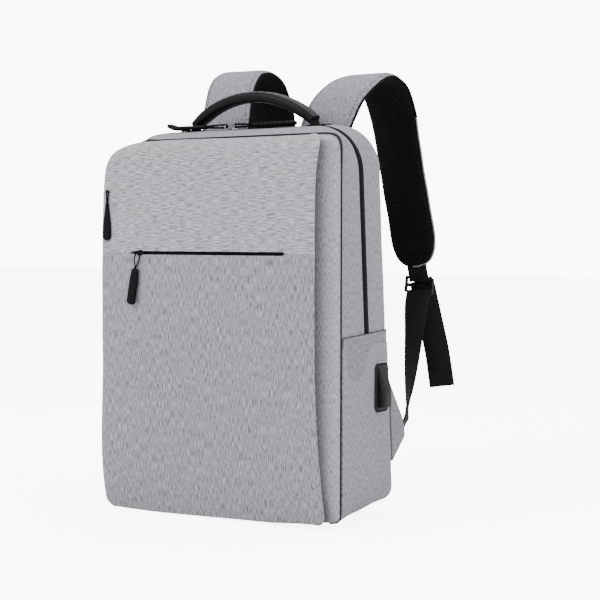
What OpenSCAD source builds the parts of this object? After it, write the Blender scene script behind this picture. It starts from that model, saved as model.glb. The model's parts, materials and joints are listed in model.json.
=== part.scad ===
// USB charging laptop backpack: sewn fabric bag, zips, straps and charging port.
// Origin: on the floor under the bag, +Z up, the front panel faces -Y, left is -X.

/* [Bag] */
// Width of the bag across its side panels
bag_w = 300; // [290:5:310]
// Height of the back panel, measured along the panel
back_h = 434; // [430:2:438]
// Height of the seam at the top of the front pocket
seam_h = 418; // [414:1:421]
// Forward lean of the back panel, in degrees
lean = 4; // [3:0.5:5]
// Distance of the back panel behind the origin, at the floor
back_y = 86; // [84:1:90]
// Position of the seam between front pocket and main compartment
seam_y = -29; // [-31:1:-27]
// Depth of the front pocket at its fullest point
pocket_d = 54; // [51:1:56]
// Thickness of a fabric wall with its lining
wall = 2.4; // [2.2:0.1:2.6]
// Radius of the back panel's top corners
back_r = 52; // [48:1:58]
// Radius of the front panel's top corners
front_r = 36; // [33:1:42]
// Radius of the bottom corners
foot_r = 22; // [18:1:26]

/* [Fold and zips] */
// Height where the main zip ends and the front folds forward
fold_z = 186; // [184:1:188]
// Width of the rear gusset, from the zip's centre to the back
rear_gusset = 48; // [46:1:50]
// Width of the visible zip tape, both halves
tape_w = 10; // [9:0.5:11]
// Height of the front pocket's zip
front_zip_z = 287; // [284:1:290]
// Left end of the front zip
front_zip_x0 = -98; // [-101:1:-95]
// Right end of the front zip
front_zip_x1 = 110; // [107:1:112]

/* [Pulls] */
// Length of a moulded pull tip
tip_l = 45; // [42:1:48]
// Width of a moulded pull tip
tip_w = 12; // [10:0.5:13]
// Thickness of a moulded pull tip
tip_t = 5; // [4:0.5:5.5]
// Radius of the bar that a pull swings on
bar_r = 0.9; // [0.8:0.1:1.0]

/* [Handle and straps] */
// Distance between the handle's ends
handle_span = 176; // [172:2:180]
// Height of the handle's arch, at its centreline
handle_rise = 33; // [31:1:35]
// Width of a shoulder strap pad
strap_w = 68; // [64:1:72]
// Thickness of a shoulder strap pad
strap_t = 11; // [10:0.5:12]
// Width of the strap webbing
web_w = 32; // [30:1:32]

/* [Charging] */
// Height of the charging port's centre
port_z = 135; // [131:1:138]
// Distance of the charging port behind the origin
port_y = 56; // [54:1:58]

/* [Hidden] */
half = bag_w / 2;
zip_dy = -rear_gusset; // main zip's centre, in the leaned frame
base_t = 3;
floor_z = base_t + 0.2; // lowest height of what stands on the base
seam_gap = 0.4; // between the seam plane and the panels that meet there
full_z = 200; // height where the front pocket is fullest
profile_steps = 22;
corner_steps = 10;

grey = [0.62, 0.62, 0.65];
grey2 = [0.55, 0.55, 0.58];
black = [0.06, 0.06, 0.065];
lining = [0.20, 0.20, 0.22];
foam_grey = [0.15, 0.15, 0.15];
slider_grey = [0.12, 0.12, 0.12];

// ---- placing and clipping ------------------------------------------------
module ext_y(y0, y1)
  translate([0, y1, 0]) rotate([90, 0, 0]) linear_extrude(height = y1 - y0) children();
module ext_x(x0, x1)
  translate([x0, 0, 0]) rotate([90, 0, 90]) linear_extrude(height = x1 - x0) children();
// Frame of the back panel: y = 0 is its rear face, +y points behind the bag.
module leaned() translate([0, back_y, 0]) rotate([lean, 0, 0]) children();
function leaned_point(xz, y) = [
  xz[0],
  back_y + y * cos(lean) - xz[1] * sin(lean),
  xz[1] * cos(lean) + y * sin(lean)];
// Draws a part made for the right (+X) on the given side: -1 left, 1 right.
module on_side(side) mirror([side < 0 ? 1 : 0, 0, 0]) children();
module above(z) translate([-300, -300, z]) cube([600, 700, 500]);
module below(z) translate([-300, -300, z - 500]) cube([600, 700, 500]);
// Clears the bottom run of a ring, between its corners, up to height top.
module base_cut(inset, top)
  translate([-half + foot_r + inset, -200, -50])
    cube([bag_w - 2 * (foot_r + inset), 400, top + 50]);
module port_hole(width, height)
  translate([half - 5, port_y - width / 2, port_z - height / 2]) cube([20, width, height]);

// ---- outlines ------------------------------------------------------------
// Upright plate outline with rounded corners, drawn in X and Z.
module outline(width, z0, z1, top_r, low_r) {
  translate([-width / 2, z0 + low_r]) square([width, z1 - top_r - z0 - low_r]);
  translate([-width / 2 + top_r, z1 - top_r - 1]) square([width - 2 * top_r, top_r + 1]);
  translate([-width / 2 + low_r, z0]) square([width - 2 * low_r, low_r + 1]);
  for (s = [-1, 1]) {
    translate([s * (width / 2 - top_r), z1 - top_r]) circle(r = top_r, $fn = 64);
    translate([s * (width / 2 - low_r), z0 + low_r]) circle(r = low_r, $fn = 48);
  }
}
module inset_outline(width, z0, z1, top_r, low_r, inset)
  outline(width - 2 * inset, z0 + inset, z1 - inset, top_r - inset, low_r - inset);
// Closed band of the given thickness, inset from the outline.
module ring(width, z0, z1, top_r, low_r, inset, thick) difference() {
  inset_outline(width, z0, z1, top_r, low_r, inset);
  inset_outline(width, z0, z1, top_r, low_r, inset + thick);
}
module back_ring(y0, y1, inset, thick)
  leaned() ext_y(y0, y1) ring(bag_w, -12, back_h, back_r, foot_r, inset, thick);
module front_ring(y0, y1, inset, thick)
  ext_y(y0, y1) ring(bag_w, 0.2, seam_h, front_r, foot_r, inset, thick);

// Side profile of the front pocket: depth as a share of its fullest, by height.
function depth_share(z, top) = z < full_z
  ? 1 - 0.42 * pow((full_z - z) / full_z, 2.2)
  : pow(max(0, 1 - pow((z - full_z) / (top - full_z), 8)), 0.3);
function face_y(z) = seam_y - pocket_d * depth_share(z, seam_h);
// [y, z] points from the floor up, closer together towards the top.
function profile(inset) = let (top = seam_h - inset) [
  for (i = [0:profile_steps])
    let (z = top * (1 - pow(1 - i / profile_steps, 1.7)))
      [seam_y - (pocket_d - inset) * depth_share(z, top), z]];
function reversed(list) = [for (i = [len(list) - 1:-1:0]) list[i]];
// A skin that follows the front pocket's outer surface, inset from it.
module pocket_skin(inset, thick) ext_x(-half - 5, half + 5)
  polygon(concat(profile(inset), reversed(profile(inset + thick))));
module pocket_inside(inset) ext_x(-half - 5, half + 5)
  polygon(concat(profile(inset), [[seam_y + 40, seam_h - inset], [seam_y + 40, 0]]));

// ---- sweeps --------------------------------------------------------------
// Catmull-Rom curve between start and end.
function curve_point(before, start, end, after, t) = 0.5 * (
  (2 * start) + (end - before) * t
  + (2 * before - 5 * start + 4 * end - after) * t * t
  + (3 * start - before - 3 * end + after) * t * t * t);
function pick(list, i) = list[max(0, min(len(list) - 1, i))];
// Curve through the points. It stops one step short of the last point.
function smooth(points, steps) = [
  for (i = [0:len(points) - 2], k = [0:steps - 1])
    curve_point(pick(points, i - 1), points[i], points[i + 1], pick(points, i + 2), k / steps)];
function unit(v) = v / norm(v);
function tangent(path, i) = unit(pick(path, i + 1) - pick(path, i - 1));
// Triangles joining successive rings of points; side `turned` has the other diagonal.
function wall_faces(rings, sides, turned = -1) = [
  for (i = [0:rings - 2], k = [0:sides - 1])
    let (u = sides * i + k, v = sides * i + (k + 1) % sides)
      each (k == turned
        ? [[u, u + sides, v + sides], [u, v + sides, v]]
        : [[u, u + sides, v], [v, u + sides, v + sides]])];
// Flat strip along a path, with a sideways vector and a width for each point;
// low and high are the offsets of its two faces along the normal.
module band(path, across, widths, low, high) {
  count = len(path);
  last = 4 * count - 1;
  points = [for (i = [0:count - 1])
    let (
      along = tangent(path, i),
      sideways = unit(across[i] - (across[i] * along) * along),
      normal = cross(sideways, along),
      reach = sideways * widths[i] / 2)
    each [
      path[i] - reach + normal * low, path[i] + reach + normal * low,
      path[i] + reach + normal * high, path[i] - reach + normal * high]];
  faces = concat(
    [[0, 1, 2, 3]],
    wall_faces(count, 4, turned = 2),
    [[last, last - 1, last - 2, last - 3]]);
  polyhedron(points = points, faces = faces, convexity = 6);
}
module cord(path, radius, sides = 10) {
  count = len(path);
  points = [for (i = [0:count - 1])
    let (
      along = tangent(path, i),
      sideways = unit(cross(along, [0.02, 0.03, 1]) + [1e-6, 0, 0]),
      normal = cross(sideways, along))
    for (j = [0:sides - 1])
      path[i] + radius * (cos(360 * j / sides) * sideways + sin(360 * j / sides) * normal)];
  faces = concat(
    [[for (j = [0:sides - 1]) j]],
    wall_faces(count, sides),
    [[for (j = [sides - 1:-1:0]) sides * (count - 1) + j]]);
  polyhedron(points = points, faces = faces, convexity = 6);
}

// ---- bag shell -----------------------------------------------------------
base_x0 = -half + 20;
base_y0 = seam_y - pocket_d * 0.6 + 6;
module base_panel() color(grey)
  translate([base_x0, base_y0, 0]) cube([bag_w - 40, back_y - 4 - base_y0, base_t]);
module base_board() color([0.1, 0.1, 0.1])
  translate([base_x0, seam_y + 6, floor_z]) cube([bag_w - 40, back_y - 12 - seam_y, 2.4]);
module back_panel() color(grey2) intersection() {
  leaned() ext_y(-3.2, 0) outline(bag_w - 0.4, -12, back_h - 0.2, back_r, foot_r);
  above(floor_z);
}
pad_r = 12;
module pad(x, z, width, height) leaned() translate([x, 0, z]) ext_y(0.2, 9) {
  translate([-width / 2 + pad_r, -height / 2]) square([width - 2 * pad_r, height]);
  translate([-width / 2, -height / 2 + pad_r]) square([width, height - 2 * pad_r]);
  for (i = [-1, 1], j = [-1, 1])
    translate([i * (width / 2 - pad_r), j * (height / 2 - pad_r)]) circle(r = pad_r, $fn = 32);
}
// Three pads on the back: two columns and a lumbar pad.
module back_pads() color(black) {
  for (x = [-68, 68]) pad(x, 250, 100, 220);
  pad(0, 78, 236, 96);
}
module strap_yoke() color(grey2) leaned() translate([-128, 0.2, 374]) cube([256, 4.8, 30]);
module side_panels() color(grey2) intersection() {
  difference() {
    back_ring(-140, -3.4, 0, wall);
    base_cut(0, 10);
    port_hole(17.8, 44.6);
  }
  translate([-300, seam_y + seam_gap, floor_z]) cube([600, 300, fold_z - 0.2 - floor_z]);
}
// Flat pocket outside a side panel, with a thicker hem at its top.
pocket_z0 = 26;
module side_pocket(side) color(grey) intersection() {
  difference() {
    on_side(side) union() {
      translate([half + 0.3, seam_y + 2, pocket_z0]) cube([2, 300, fold_z + 3 - pocket_z0]);
      translate([half + 0.3, seam_y + 2, fold_z - 8]) cube([3.2, 300, 12]);
    }
    if (side > 0) port_hole(18, 46);
  }
  leaned() translate([-300, -200, -50]) cube([600, 198, 400]);
}
module side_pocket_left() side_pocket(-1);
module side_pocket_right() side_pocket(1);
module rear_gusset_arch() color(grey) intersection() {
  back_ring(zip_dy + tape_w / 2, -3.4, 0, wall);
  above(fold_z + 0.2);
}
// [x, z] points of an arch, from its left foot over the top to its right foot.
function arch(width, top, radius, foot) = let (
  side = width / 2,
  spring = top - radius,
  leg = [for (i = [0:5]) foot + (spring - foot) * i / 6],
  turns = [for (i = [0:corner_steps]) 90 * i / corner_steps]) concat(
    [for (z = leg) [-side, z]],
    [for (a = turns) [-side + radius - radius * cos(a), spring + radius * sin(a)]],
    [for (i = [1:7]) [(side - radius) * (i / 4 - 1), top]],
    [for (a = turns) [side - radius + radius * sin(a), spring + radius * cos(a)]],
    [for (z = reversed(leg)) [side, z]]);
// Lofted from the upright seam outline back to the leaned zip outline.
module front_gusset_arch() color(grey) {
  zip_edge = zip_dy - tape_w / 2 - 0.2;
  seam_foot = fold_z + 0.3;
  zip_foot = (seam_foot - zip_edge * sin(lean)) / cos(lean);
  seam_outer = arch(bag_w, seam_h, front_r, seam_foot);
  seam_inner = arch(bag_w - 2 * wall, seam_h - wall, front_r - wall, seam_foot);
  zip_outer = arch(bag_w, back_h, back_r, zip_foot);
  zip_inner = arch(bag_w - 2 * wall, back_h - wall, back_r - wall, zip_foot);
  count = len(seam_outer);
  last = 4 * count - 1;
  points = [for (i = [0:count - 1]) each [
    [seam_outer[i][0], seam_y + seam_gap, seam_outer[i][1]],
    leaned_point(zip_outer[i], zip_edge),
    leaned_point(zip_inner[i], zip_edge),
    [seam_inner[i][0], seam_y + seam_gap, seam_inner[i][1]]]];
  faces = concat(
    [[0, 1, 2], [0, 2, 3]],
    wall_faces(count, 4),
    [[last, last - 1, last - 2], [last, last - 2, last - 3]]);
  polyhedron(points = points, faces = faces, convexity = 6);
}
// y0 and y1 are measured from the zip's centre.
module main_zip_part(y0, y1, inset, thick) color(black) intersection() {
  back_ring(zip_dy + y0, zip_dy + y1, inset, thick);
  above(fold_z + 4);
}
module main_zip_tape_rear() main_zip_part(0.3, tape_w / 2 - 0.1, 0.5, 1);
module main_zip_tape_front() main_zip_part(-tape_w / 2 + 0.1, -0.3, 0.5, 1);
module main_zip_coil_rear() main_zip_part(0.15, 3, 1.6, 1.6);
module main_zip_coil_front() main_zip_part(-3, -0.15, 1.6, 1.6);

// ---- front pocket --------------------------------------------------------
zip_face = face_y(front_zip_z);
front_zip_l = front_zip_x1 - front_zip_x0;
front_tape_h = 9; // height of each half of the front zip's tape
// The side zip runs down the front panel's left margin.
side_x = -140;
side_z0 = 357; // height of its slider
side_tilt = atan((face_y(side_z0) - face_y(side_z0 - 60)) / 60);

module pocket_divider() color(lining)
  ext_y(seam_y - 1.2, seam_y - 0.2) outline(bag_w - 20, 6, seam_h - 8, front_r - 8, foot_r - 4);
module seam_binding() color(black) difference() {
  front_ring(seam_y - 0.1, seam_y + 0.3, 0.6, 4);
  below(floor_z);
}
module front_panel() intersection() {
  pocket_skin(0, wall);
  ext_y(-100, seam_y - seam_gap) outline(bag_w, 0.2, seam_h, front_r, foot_r);
}
module front_zip_slot()
  translate([front_zip_x0, -100, front_zip_z - 1.6]) cube([front_zip_l, 60, 3.2]);
// Box on the side zip's line; drop is how far it starts below the slider.
module side_zip_box(width, drop, depth, height)
  translate([side_x - width / 2, -110, side_z0 - drop]) cube([width, depth, height]);
module front_panel_upper() color(grey) intersection() {
  difference() {
    front_panel();
    front_zip_slot();
    side_zip_box(3.2, 62, 60, 72);
  }
  above(front_zip_z);
}
module front_panel_lower() color(grey) intersection() {
  difference() {
    front_panel();
    front_zip_slot();
  }
  below(front_zip_z - 0.02);
}
module front_pocket_gusset() color(grey2) difference() {
  intersection() {
    front_ring(-100, seam_y - seam_gap, 3, wall - 0.6);
    pocket_inside(wall + 0.3);
  }
  base_cut(2, 6);
}
module foam(z0, z1) color(foam_grey) intersection() {
  pocket_skin(wall + 3.2, 4);
  ext_y(-100, seam_y - 3) outline(bag_w - 24, 4, seam_h - 30, front_r - 8, 16);
  translate([-300, -300, z0]) cube([600, 600, z1 - z0]);
}
module front_foam_upper() {
  foam(fold_z + 20, front_zip_z - 7);
  foam(front_zip_z + 7, seam_h - 30);
}
module front_foam_lower() foam(8, fold_z - 38);
module front_zip_tape() color(black) for (dz = [-0.25 - front_tape_h, 0.25])
  translate([front_zip_x0 - 3, zip_face + 3.6, front_zip_z + dz])
    cube([front_zip_l + 6, 0.8, front_tape_h]);
module front_zip_coil() color(black)
  translate([front_zip_x0, zip_face + 1.5, front_zip_z - 1.2]) cube([front_zip_l, 2, 2.4]);
module side_zip_tape() color(black) intersection() {
  pocket_skin(wall + 0.5, 0.8);
  difference() {
    side_zip_box(9.2, 66, 80, 78);
    side_zip_box(3, 64, 80, 72);
  }
}

// ---- sliders and pulls ---------------------------------------------------
// Slider frame: travel along X, outwards is +Z, bar along Y unless turned.
bar_z = 5;
eye_r = 2.5; // outer radius of a cord link's ends
link_r = bar_r + 0.1; // inner radius, clear of the bar
main_cord_l = 43;
front_cord_l = 18;
side_cord_l = 14;
main_slider_x = -26; // middle of the pair of main sliders
main_slider_gap = 6.4; // from that middle to each slider

module slider(bar_turn = 0) {
  hull() {
    translate([-3, 0, 0.2]) cylinder(r = 2.6, h = 2, $fn = 24);
    translate([3, 1.2, 0.2]) cylinder(r = 2.8, h = 2, $fn = 24);
    translate([3, -1.2, 0.2]) cylinder(r = 2.8, h = 2, $fn = 24);
  }
  rotate([0, 0, bar_turn]) {
    for (y = [-2.9, 1.7]) translate([-1.6, y, 2]) cube([3.2, 1.2, 4.6]);
    translate([0, -2.4, bar_z]) rotate([-90, 0, 0]) cylinder(r = bar_r, h = 4.8, $fn = 32);
  }
}
// The cord link lies in X and Z, with its eye on the bar, and runs to -X.
module pull_cord(length)
  translate([0, 0, bar_z]) rotate([90, 0, 0]) translate([0, 0, -0.9])
    linear_extrude(height = 1.8) difference() {
      link_outline(length, eye_r);
      link_outline(length, link_r);
    }
module link_outline(length, radius) union() {
  circle(r = radius, $fn = 32);
  translate([-length, 0]) circle(r = radius, $fn = 32);
  translate([-length, -radius]) square([length, 2 * radius]);
}
// Moulded tip that overlaps the far end of a cord of the given length.
module pull_tip(cord_l) translate([-cord_l - tip_l + 3, 0, bar_z]) {
  for (x = [tip_w / 2, tip_l - tip_w / 2])
    translate([x, 0, -tip_t / 2]) cylinder(r = tip_w / 2, h = tip_t, $fn = 48);
  translate([tip_w / 2, -tip_w / 2, -tip_t / 2]) cube([tip_l - tip_w, tip_w, tip_t]);
}

// Main zip: the two pulls lie along the top and point away from each other.
module at_main(side)
  leaned() translate([main_slider_x + side * main_slider_gap, zip_dy, back_h - 0.3])
    on_side(-side) children();
module main_slider_left() color(slider_grey) at_main(-1) slider();
module main_slider_right() color(slider_grey) at_main(1) slider();
module main_pull_cord_left() color(black) at_main(-1) pull_cord(main_cord_l);
module main_pull_cord_right() color(black) at_main(1) pull_cord(main_cord_l);
module main_pull_tip_left() color(black) at_main(-1) pull_tip(main_cord_l);
module main_pull_tip_right() color(black) at_main(1) pull_tip(main_cord_l);

// Front zip: outwards is -Y, and the pull hangs from a bar along X.
module at_front() translate([front_zip_x0 + 10, zip_face - 0.4, front_zip_z])
  rotate([90, 0, 0]) children();
module hang_front() at_front() rotate([0, 0, 90]) children();
module front_slider() color(slider_grey) at_front() {
  slider(bar_turn = 90);
  translate([-4, -1, -1.6]) cube([8, 2, 2.2]);
}
module front_pull_cord() color(black) hang_front() pull_cord(front_cord_l);
module front_pull_tip() color(black) hang_front() pull_tip(front_cord_l);

// Side zip: outwards is about -Y, and travel follows the panel's slope.
module at_side() translate([side_x, face_y(side_z0) - 1.6, side_z0])
  rotate([-side_tilt, 0, 0]) rotate([90, 0, 0]) rotate([0, 0, 90]) children();
module side_slider() color(slider_grey) at_side() {
  slider();
  translate([-4, -1, -4.6]) cube([8, 2, 5.2]);
}
module side_pull_cord() color(black) at_side() pull_cord(side_cord_l);
module side_pull_tip() color(black) at_side() pull_tip(side_cord_l);

// ---- handle --------------------------------------------------------------
handle_arc_r = (pow(handle_span / 2, 2) + pow(handle_rise, 2)) / (2 * handle_rise);
handle_drop = handle_arc_r - handle_rise; // from the handle's ends to the arc's centre
handle_x = -5;
handle_y = zip_dy + 18;
module handle_grip() color(black)
  leaned() translate([handle_x, handle_y, back_h + 4 - handle_drop]) intersection() {
    rotate([90, 0, 0]) rotate_extrude($fn = 128) translate([handle_arc_r, 0]) {
      square([12, 9], center = true);
      for (s = [-1, 1]) translate([0, s * 4.5]) circle(r = 6, $fn = 32);
    }
    translate([-200, -50, handle_drop + 3]) cube([400, 100, 100]);
  }
module handle_anchors() color(black) leaned() for (s = [-1, 1])
  translate([handle_x + s * (handle_span / 2 + 2) - 13, handle_y - 8, back_h + 0.1])
    cube([26, 16, 1.6]);

// ---- shoulder straps -----------------------------------------------------
// Centreline [x, y, z], as if on the right: from the yoke over the top and down behind.
// The left strap's root is farther from the middle and its loop rises higher.
function strap_points(side) = let (inward = side > 0 ? 1 : 0.35, lift = side > 0 ? 8 : 22) [
  [83 - 17 * inward, 66, 407],
  [83 - 16 * inward, 69, 432 + 0.25 * lift],
  [85 - 8 * inward, 83, 461 + 0.7 * lift],
  [88, 108, 480 + lift], [89, 136, 484 + lift], [91, 161, 472 + lift],
  [92, 179, 447 + 0.7 * lift], [94, 189, 413 + 0.25 * lift],
  [98, 197, 369], [104, 202, 325], [109, 204, 290], [111, 204, 264]];
// Full width, narrowing in a curve near the lower end.
function strap_width(point, end) = let (d = norm(point - end), r = strap_w / 2) d >= r
  ? strap_w
  : 2 * sqrt(max(0, r * r - (r - d) * (r - d))) * 0.72 + strap_w * 0.28;
// One layer of the pad, which twists by 11 degrees on its way down.
module strap_layer(side, low, high) {
  path = smooth(strap_points(side), 4);
  last = len(path) - 1;
  twists = [for (i = [0:last]) 11 * min(1, max(0, (i - 12) / 16))];
  on_side(side) band(path,
    [for (twist = twists) [cos(twist), -sin(twist), 0]],
    [for (point = path) strap_width(point, path[last])], low, high);
}
module strap_cover(side) color(grey) strap_layer(side, strap_t / 2 - 1.5, strap_t / 2);
module strap_foam(side) color(foam_grey)
  strap_layer(side, -strap_t / 2 + 2.3, strap_t / 2 - 1.9);
module strap_mesh(side) color(black) strap_layer(side, -strap_t / 2, -strap_t / 2 + 1.9);
// Ladder-lock buckle below the pad's end.
buckle_at = [113, 208, 245];
buckle_size = [42, 5, 22];
module strap_buckle(side) color(black)
  translate([side * buckle_at[0], buckle_at[1], buckle_at[2]]) rotate([0, side * 5, 0])
    translate(-buckle_size / 2) difference() {
      cube(buckle_size);
      for (z = [3, 13])
        translate([(buckle_size[0] - web_w) / 2 - 1, -1, z]) cube([web_w + 2, 7, 6]);
    }
module webbing(side, path, across) color(black)
  on_side(side) band(path, across, [for (point = path) web_w], -0.8, 0.8);
// Webbing [x, y, z], from the wing tab up to the buckle.
web_path = smooth([
  [147, 121, 97], [144, 130, 115], [136, 150, 152], [125, 177, 200], [117, 196, 227]], 5);
web_last = len(web_path) - 1;
web_angles = [for (i = [0:web_last]) 180 - 70 * (1 - i / web_last)];
module strap_webbing(side) webbing(side, web_path, [for (a = web_angles) [cos(a), sin(a), 0]]);
// Loose tail [x, y, z], hanging from the buckle.
tail_path = smooth([
  [115, 214, 245], [118, 219, 222], [124, 222, 190], [130, 224, 160], [136, 226, 120]], 4);
module strap_tail(side) webbing(side, tail_path, [for (point = tail_path) [1, 0.12, 0.1]]);
module strap_cover_left() strap_cover(-1);
module strap_cover_right() strap_cover(1);
module strap_foam_left() strap_foam(-1);
module strap_foam_right() strap_foam(1);
module strap_mesh_left() strap_mesh(-1);
module strap_mesh_right() strap_mesh(1);
module strap_buckle_left() strap_buckle(-1);
module strap_buckle_right() strap_buckle(1);
module strap_webbing_left() strap_webbing(-1);
module strap_webbing_right() strap_webbing(1);
module strap_tail_left() strap_tail(-1);
module strap_tail_right() strap_tail(1);
module wing_tabs() color(grey) for (side = [-1, 1]) on_side(side)
  ext_x(half - 5.5, half - 1.5) polygon([
    [back_y + 0.8 - 45 * tan(lean), 45], [back_y + 22, 72],
    [back_y + 20, 88], [back_y + 0.8 - 138 * tan(lean), 138]]);

// ---- charging port, cable and power bank ---------------------------------
// Flange, body through the side panel, and a wedge-shaped hood open below.
module usb_port_body() color(black) translate([half, port_y, port_z]) difference() {
  union() {
    translate([2.5, -12, -26]) cube([1.6, 24, 52]);
    translate([-4, -8.6, -22]) cube([7, 17.2, 44]);
    translate([0, 8.6, 0]) rotate([90, 0, 0]) linear_extrude(height = 17.2)
      polygon([[4, -22], [12.5, -22], [12.5, -8], [4.1, 22]]);
  }
  translate([5.1, -6.8, -23]) cube([6, 13.6, 19]);
}
module usb_socket() color([0.75, 0.75, 0.77])
  translate([half + 5.2, port_y - 6.6, port_z - 22]) {
    difference() {
      cube([5.8, 13.2, 17]);
      translate([0.4, 0.4, -1]) cube([5, 12.4, 16.6]);
    }
    translate([3.1, 1.2, 2]) cube([1.9, 10.8, 14]);
  }

// The bank, its plug and the cable's lower end share one upright centreline.
bank_x = half - 20;
bank_y = 18;
button_at = [half - 28.5, -9, 126];
module bank_block(size, z)
  translate([bank_x - size[0] / 2, bank_y - size[1] / 2, z]) cube(size);
module button_disc(radius, height)
  translate(button_at) rotate([0, 90, 0]) cylinder(r = radius, h = height, $fn = 32);
// [x, y, z] from the port, up and over, then down into the plug.
cable_path = concat(smooth([
  [half - 6.2, port_y, port_z + 9],
  [half - 8, port_y, port_z + 15],
  [half - 9, port_y, port_z + 31],
  [half - 12, port_y - 3, port_z + 59],
  [half - 18, port_y - 16, port_z + 79],
  [bank_x, port_y - 34, port_z + 73],
  [bank_x, port_y - 38, 190]], 5), [[bank_x, port_y - 38, 187.1]]);
module usb_cable() color(black) cord(cable_path, 1.9);
module usb_plug() color(black) {
  bank_block([8, 18, 34], 153);
  bank_block([4.5, 12, 15], 138);
}
module power_bank_case() color([0.13, 0.13, 0.14]) difference() {
  bank_block([15, 68, 143], 8);
  bank_block([11.8, 64.4, 127], 9.6);
  bank_block([5.2, 12.8, 20], 136);
  button_disc(4.1, 3.5);
}
module power_bank_cells() color([0.3, 0.45, 0.6])
  for (y = [-13, 19]) translate([bank_x - 4.9, y, 11]) cube([9.8, 30, 96]);
module power_bank_button() color([0.7, 0.7, 0.7]) button_disc(4, 2.2);
module bank_pocket() color(lining) translate([half - 30.7, -20, 6]) difference() {
  cube([22, 76, 82]);
  translate([1.6, 1.6, 1.6]) cube([18.8, 72.8, 100]);
}
module laptop_sleeve() color(lining) intersection() {
  leaned() translate([-half + 4, -38, 0]) cube([bag_w - 38, 5, 300]);
  above(6.2);
}

base_panel();
base_board();
back_panel();
back_pads();
strap_yoke();
side_panels();
side_pocket_left();
side_pocket_right();
rear_gusset_arch();
main_zip_tape_rear();
main_zip_coil_rear();
main_zip_tape_front();
main_zip_coil_front();
front_gusset_arch();
pocket_divider();
seam_binding();
front_panel_upper();
front_panel_lower();
front_pocket_gusset();
front_foam_upper();
front_foam_lower();
front_zip_tape();
front_zip_coil();
front_slider();
front_pull_cord();
front_pull_tip();
main_slider_left();
main_pull_cord_left();
main_pull_tip_left();
main_slider_right();
main_pull_cord_right();
main_pull_tip_right();
side_zip_tape();
side_slider();
side_pull_cord();
side_pull_tip();
handle_grip();
handle_anchors();
strap_cover_left();
strap_foam_left();
strap_mesh_left();
strap_buckle_left();
strap_webbing_left();
strap_tail_left();
strap_cover_right();
strap_foam_right();
strap_mesh_right();
strap_buckle_right();
strap_webbing_right();
strap_tail_right();
wing_tabs();
usb_port_body();
usb_socket();
usb_cable();
usb_plug();
power_bank_case();
power_bank_cells();
power_bank_button();
bank_pocket();
laptop_sleeve();
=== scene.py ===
# A soft, stuffed laptop backpack standing on z = 0. The front panels face -y, the back panel
# and shoulder straps face +y, and left is -x. Sizes are in millimetres; make() turns them into
# metres. The back leans forward, so pieces on it are laid out in the back's own frame:
# x, out (square to the back, + behind it) and up (along it), placed by lean().
import bpy, bmesh, json
import numpy as np
from math import acos, atan, atan2, cos, pi, radians, sin, tan
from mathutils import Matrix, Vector

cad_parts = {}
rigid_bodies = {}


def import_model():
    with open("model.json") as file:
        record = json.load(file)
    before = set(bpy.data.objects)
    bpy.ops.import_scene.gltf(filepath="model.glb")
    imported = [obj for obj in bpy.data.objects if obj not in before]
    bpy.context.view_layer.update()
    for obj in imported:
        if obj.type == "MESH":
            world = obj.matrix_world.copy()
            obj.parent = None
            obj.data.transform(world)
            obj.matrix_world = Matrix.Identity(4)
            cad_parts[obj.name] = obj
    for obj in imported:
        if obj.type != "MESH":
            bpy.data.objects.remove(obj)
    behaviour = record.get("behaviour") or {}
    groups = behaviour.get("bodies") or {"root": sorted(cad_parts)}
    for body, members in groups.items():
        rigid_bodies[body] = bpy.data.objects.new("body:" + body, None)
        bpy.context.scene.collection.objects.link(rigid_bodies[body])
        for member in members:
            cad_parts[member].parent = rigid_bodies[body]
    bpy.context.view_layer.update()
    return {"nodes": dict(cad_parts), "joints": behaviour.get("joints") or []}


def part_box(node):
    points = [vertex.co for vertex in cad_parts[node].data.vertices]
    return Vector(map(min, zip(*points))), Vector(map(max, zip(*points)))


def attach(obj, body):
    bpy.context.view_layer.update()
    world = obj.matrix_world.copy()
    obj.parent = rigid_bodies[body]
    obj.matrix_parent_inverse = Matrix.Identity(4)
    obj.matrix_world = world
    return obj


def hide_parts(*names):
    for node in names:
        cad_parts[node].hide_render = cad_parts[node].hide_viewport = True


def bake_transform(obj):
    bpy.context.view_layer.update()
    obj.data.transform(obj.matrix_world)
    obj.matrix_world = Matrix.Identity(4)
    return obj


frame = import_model()
NODES = frame["nodes"]
JOINTS = {joint["name"]: joint for joint in frame["joints"]}
SIDES = ((-1, "left"), (1, "right"))


def box(node):
    lo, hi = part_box(node)
    return np.array(lo) * 1000.0, np.array(hi) * 1000.0


# ---------------------------------------------------------------- driving sizes, from the frame
lift_axis = JOINTS["main_pull_left_lift"]["axis"]
LEAN = atan2(lift_axis[2], lift_axis[1])
COS_LEAN, SIN_LEAN = cos(LEAN), sin(LEAN)
ALONG_OUT = np.array([0, COS_LEAN, SIN_LEAN])
HALF_W = box("rear_gusset_arch")[1][0]
SEAM_Z = box("front_panel_upper")[1][2]      # top of the front panels
SEAM_Y = box("seam_binding")[1][1] - 0.3     # seam between front pocket and main bag
DEPTH = SEAM_Y - box("front_panel_lower")[0][1]
FOLD_Z = box("side_panels")[1][2] + 0.2      # where the open front flap folds down
BACK_Y = box("back_panel")[1][1] + 3.2 * tan(LEAN)
BACK_TOP = (box("rear_gusset_arch")[1][2] + 3.4 * SIN_LEAN) / COS_LEAN
ZIP_OUT = -48.0                              # main zip's place in the back's frame
ZIP_Z = box("front_zip_coil")[0][2] + 1.2
ZIP_X0, ZIP_X1 = box("front_zip_coil")[0][0], box("front_zip_coil")[1][0]
R_SEAM, R_BACK, R_FOOT, R_FRONT = 36.0, 52.0, 15.0, 9.0    # outline corner radii
R_REAR = 11.0                                # rounding of the back edge


# ---------------------------------------------------------------- shaping helpers
def xyz(x, y, z):
    return np.stack(np.broadcast_arrays(x, y, z), -1)


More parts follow.
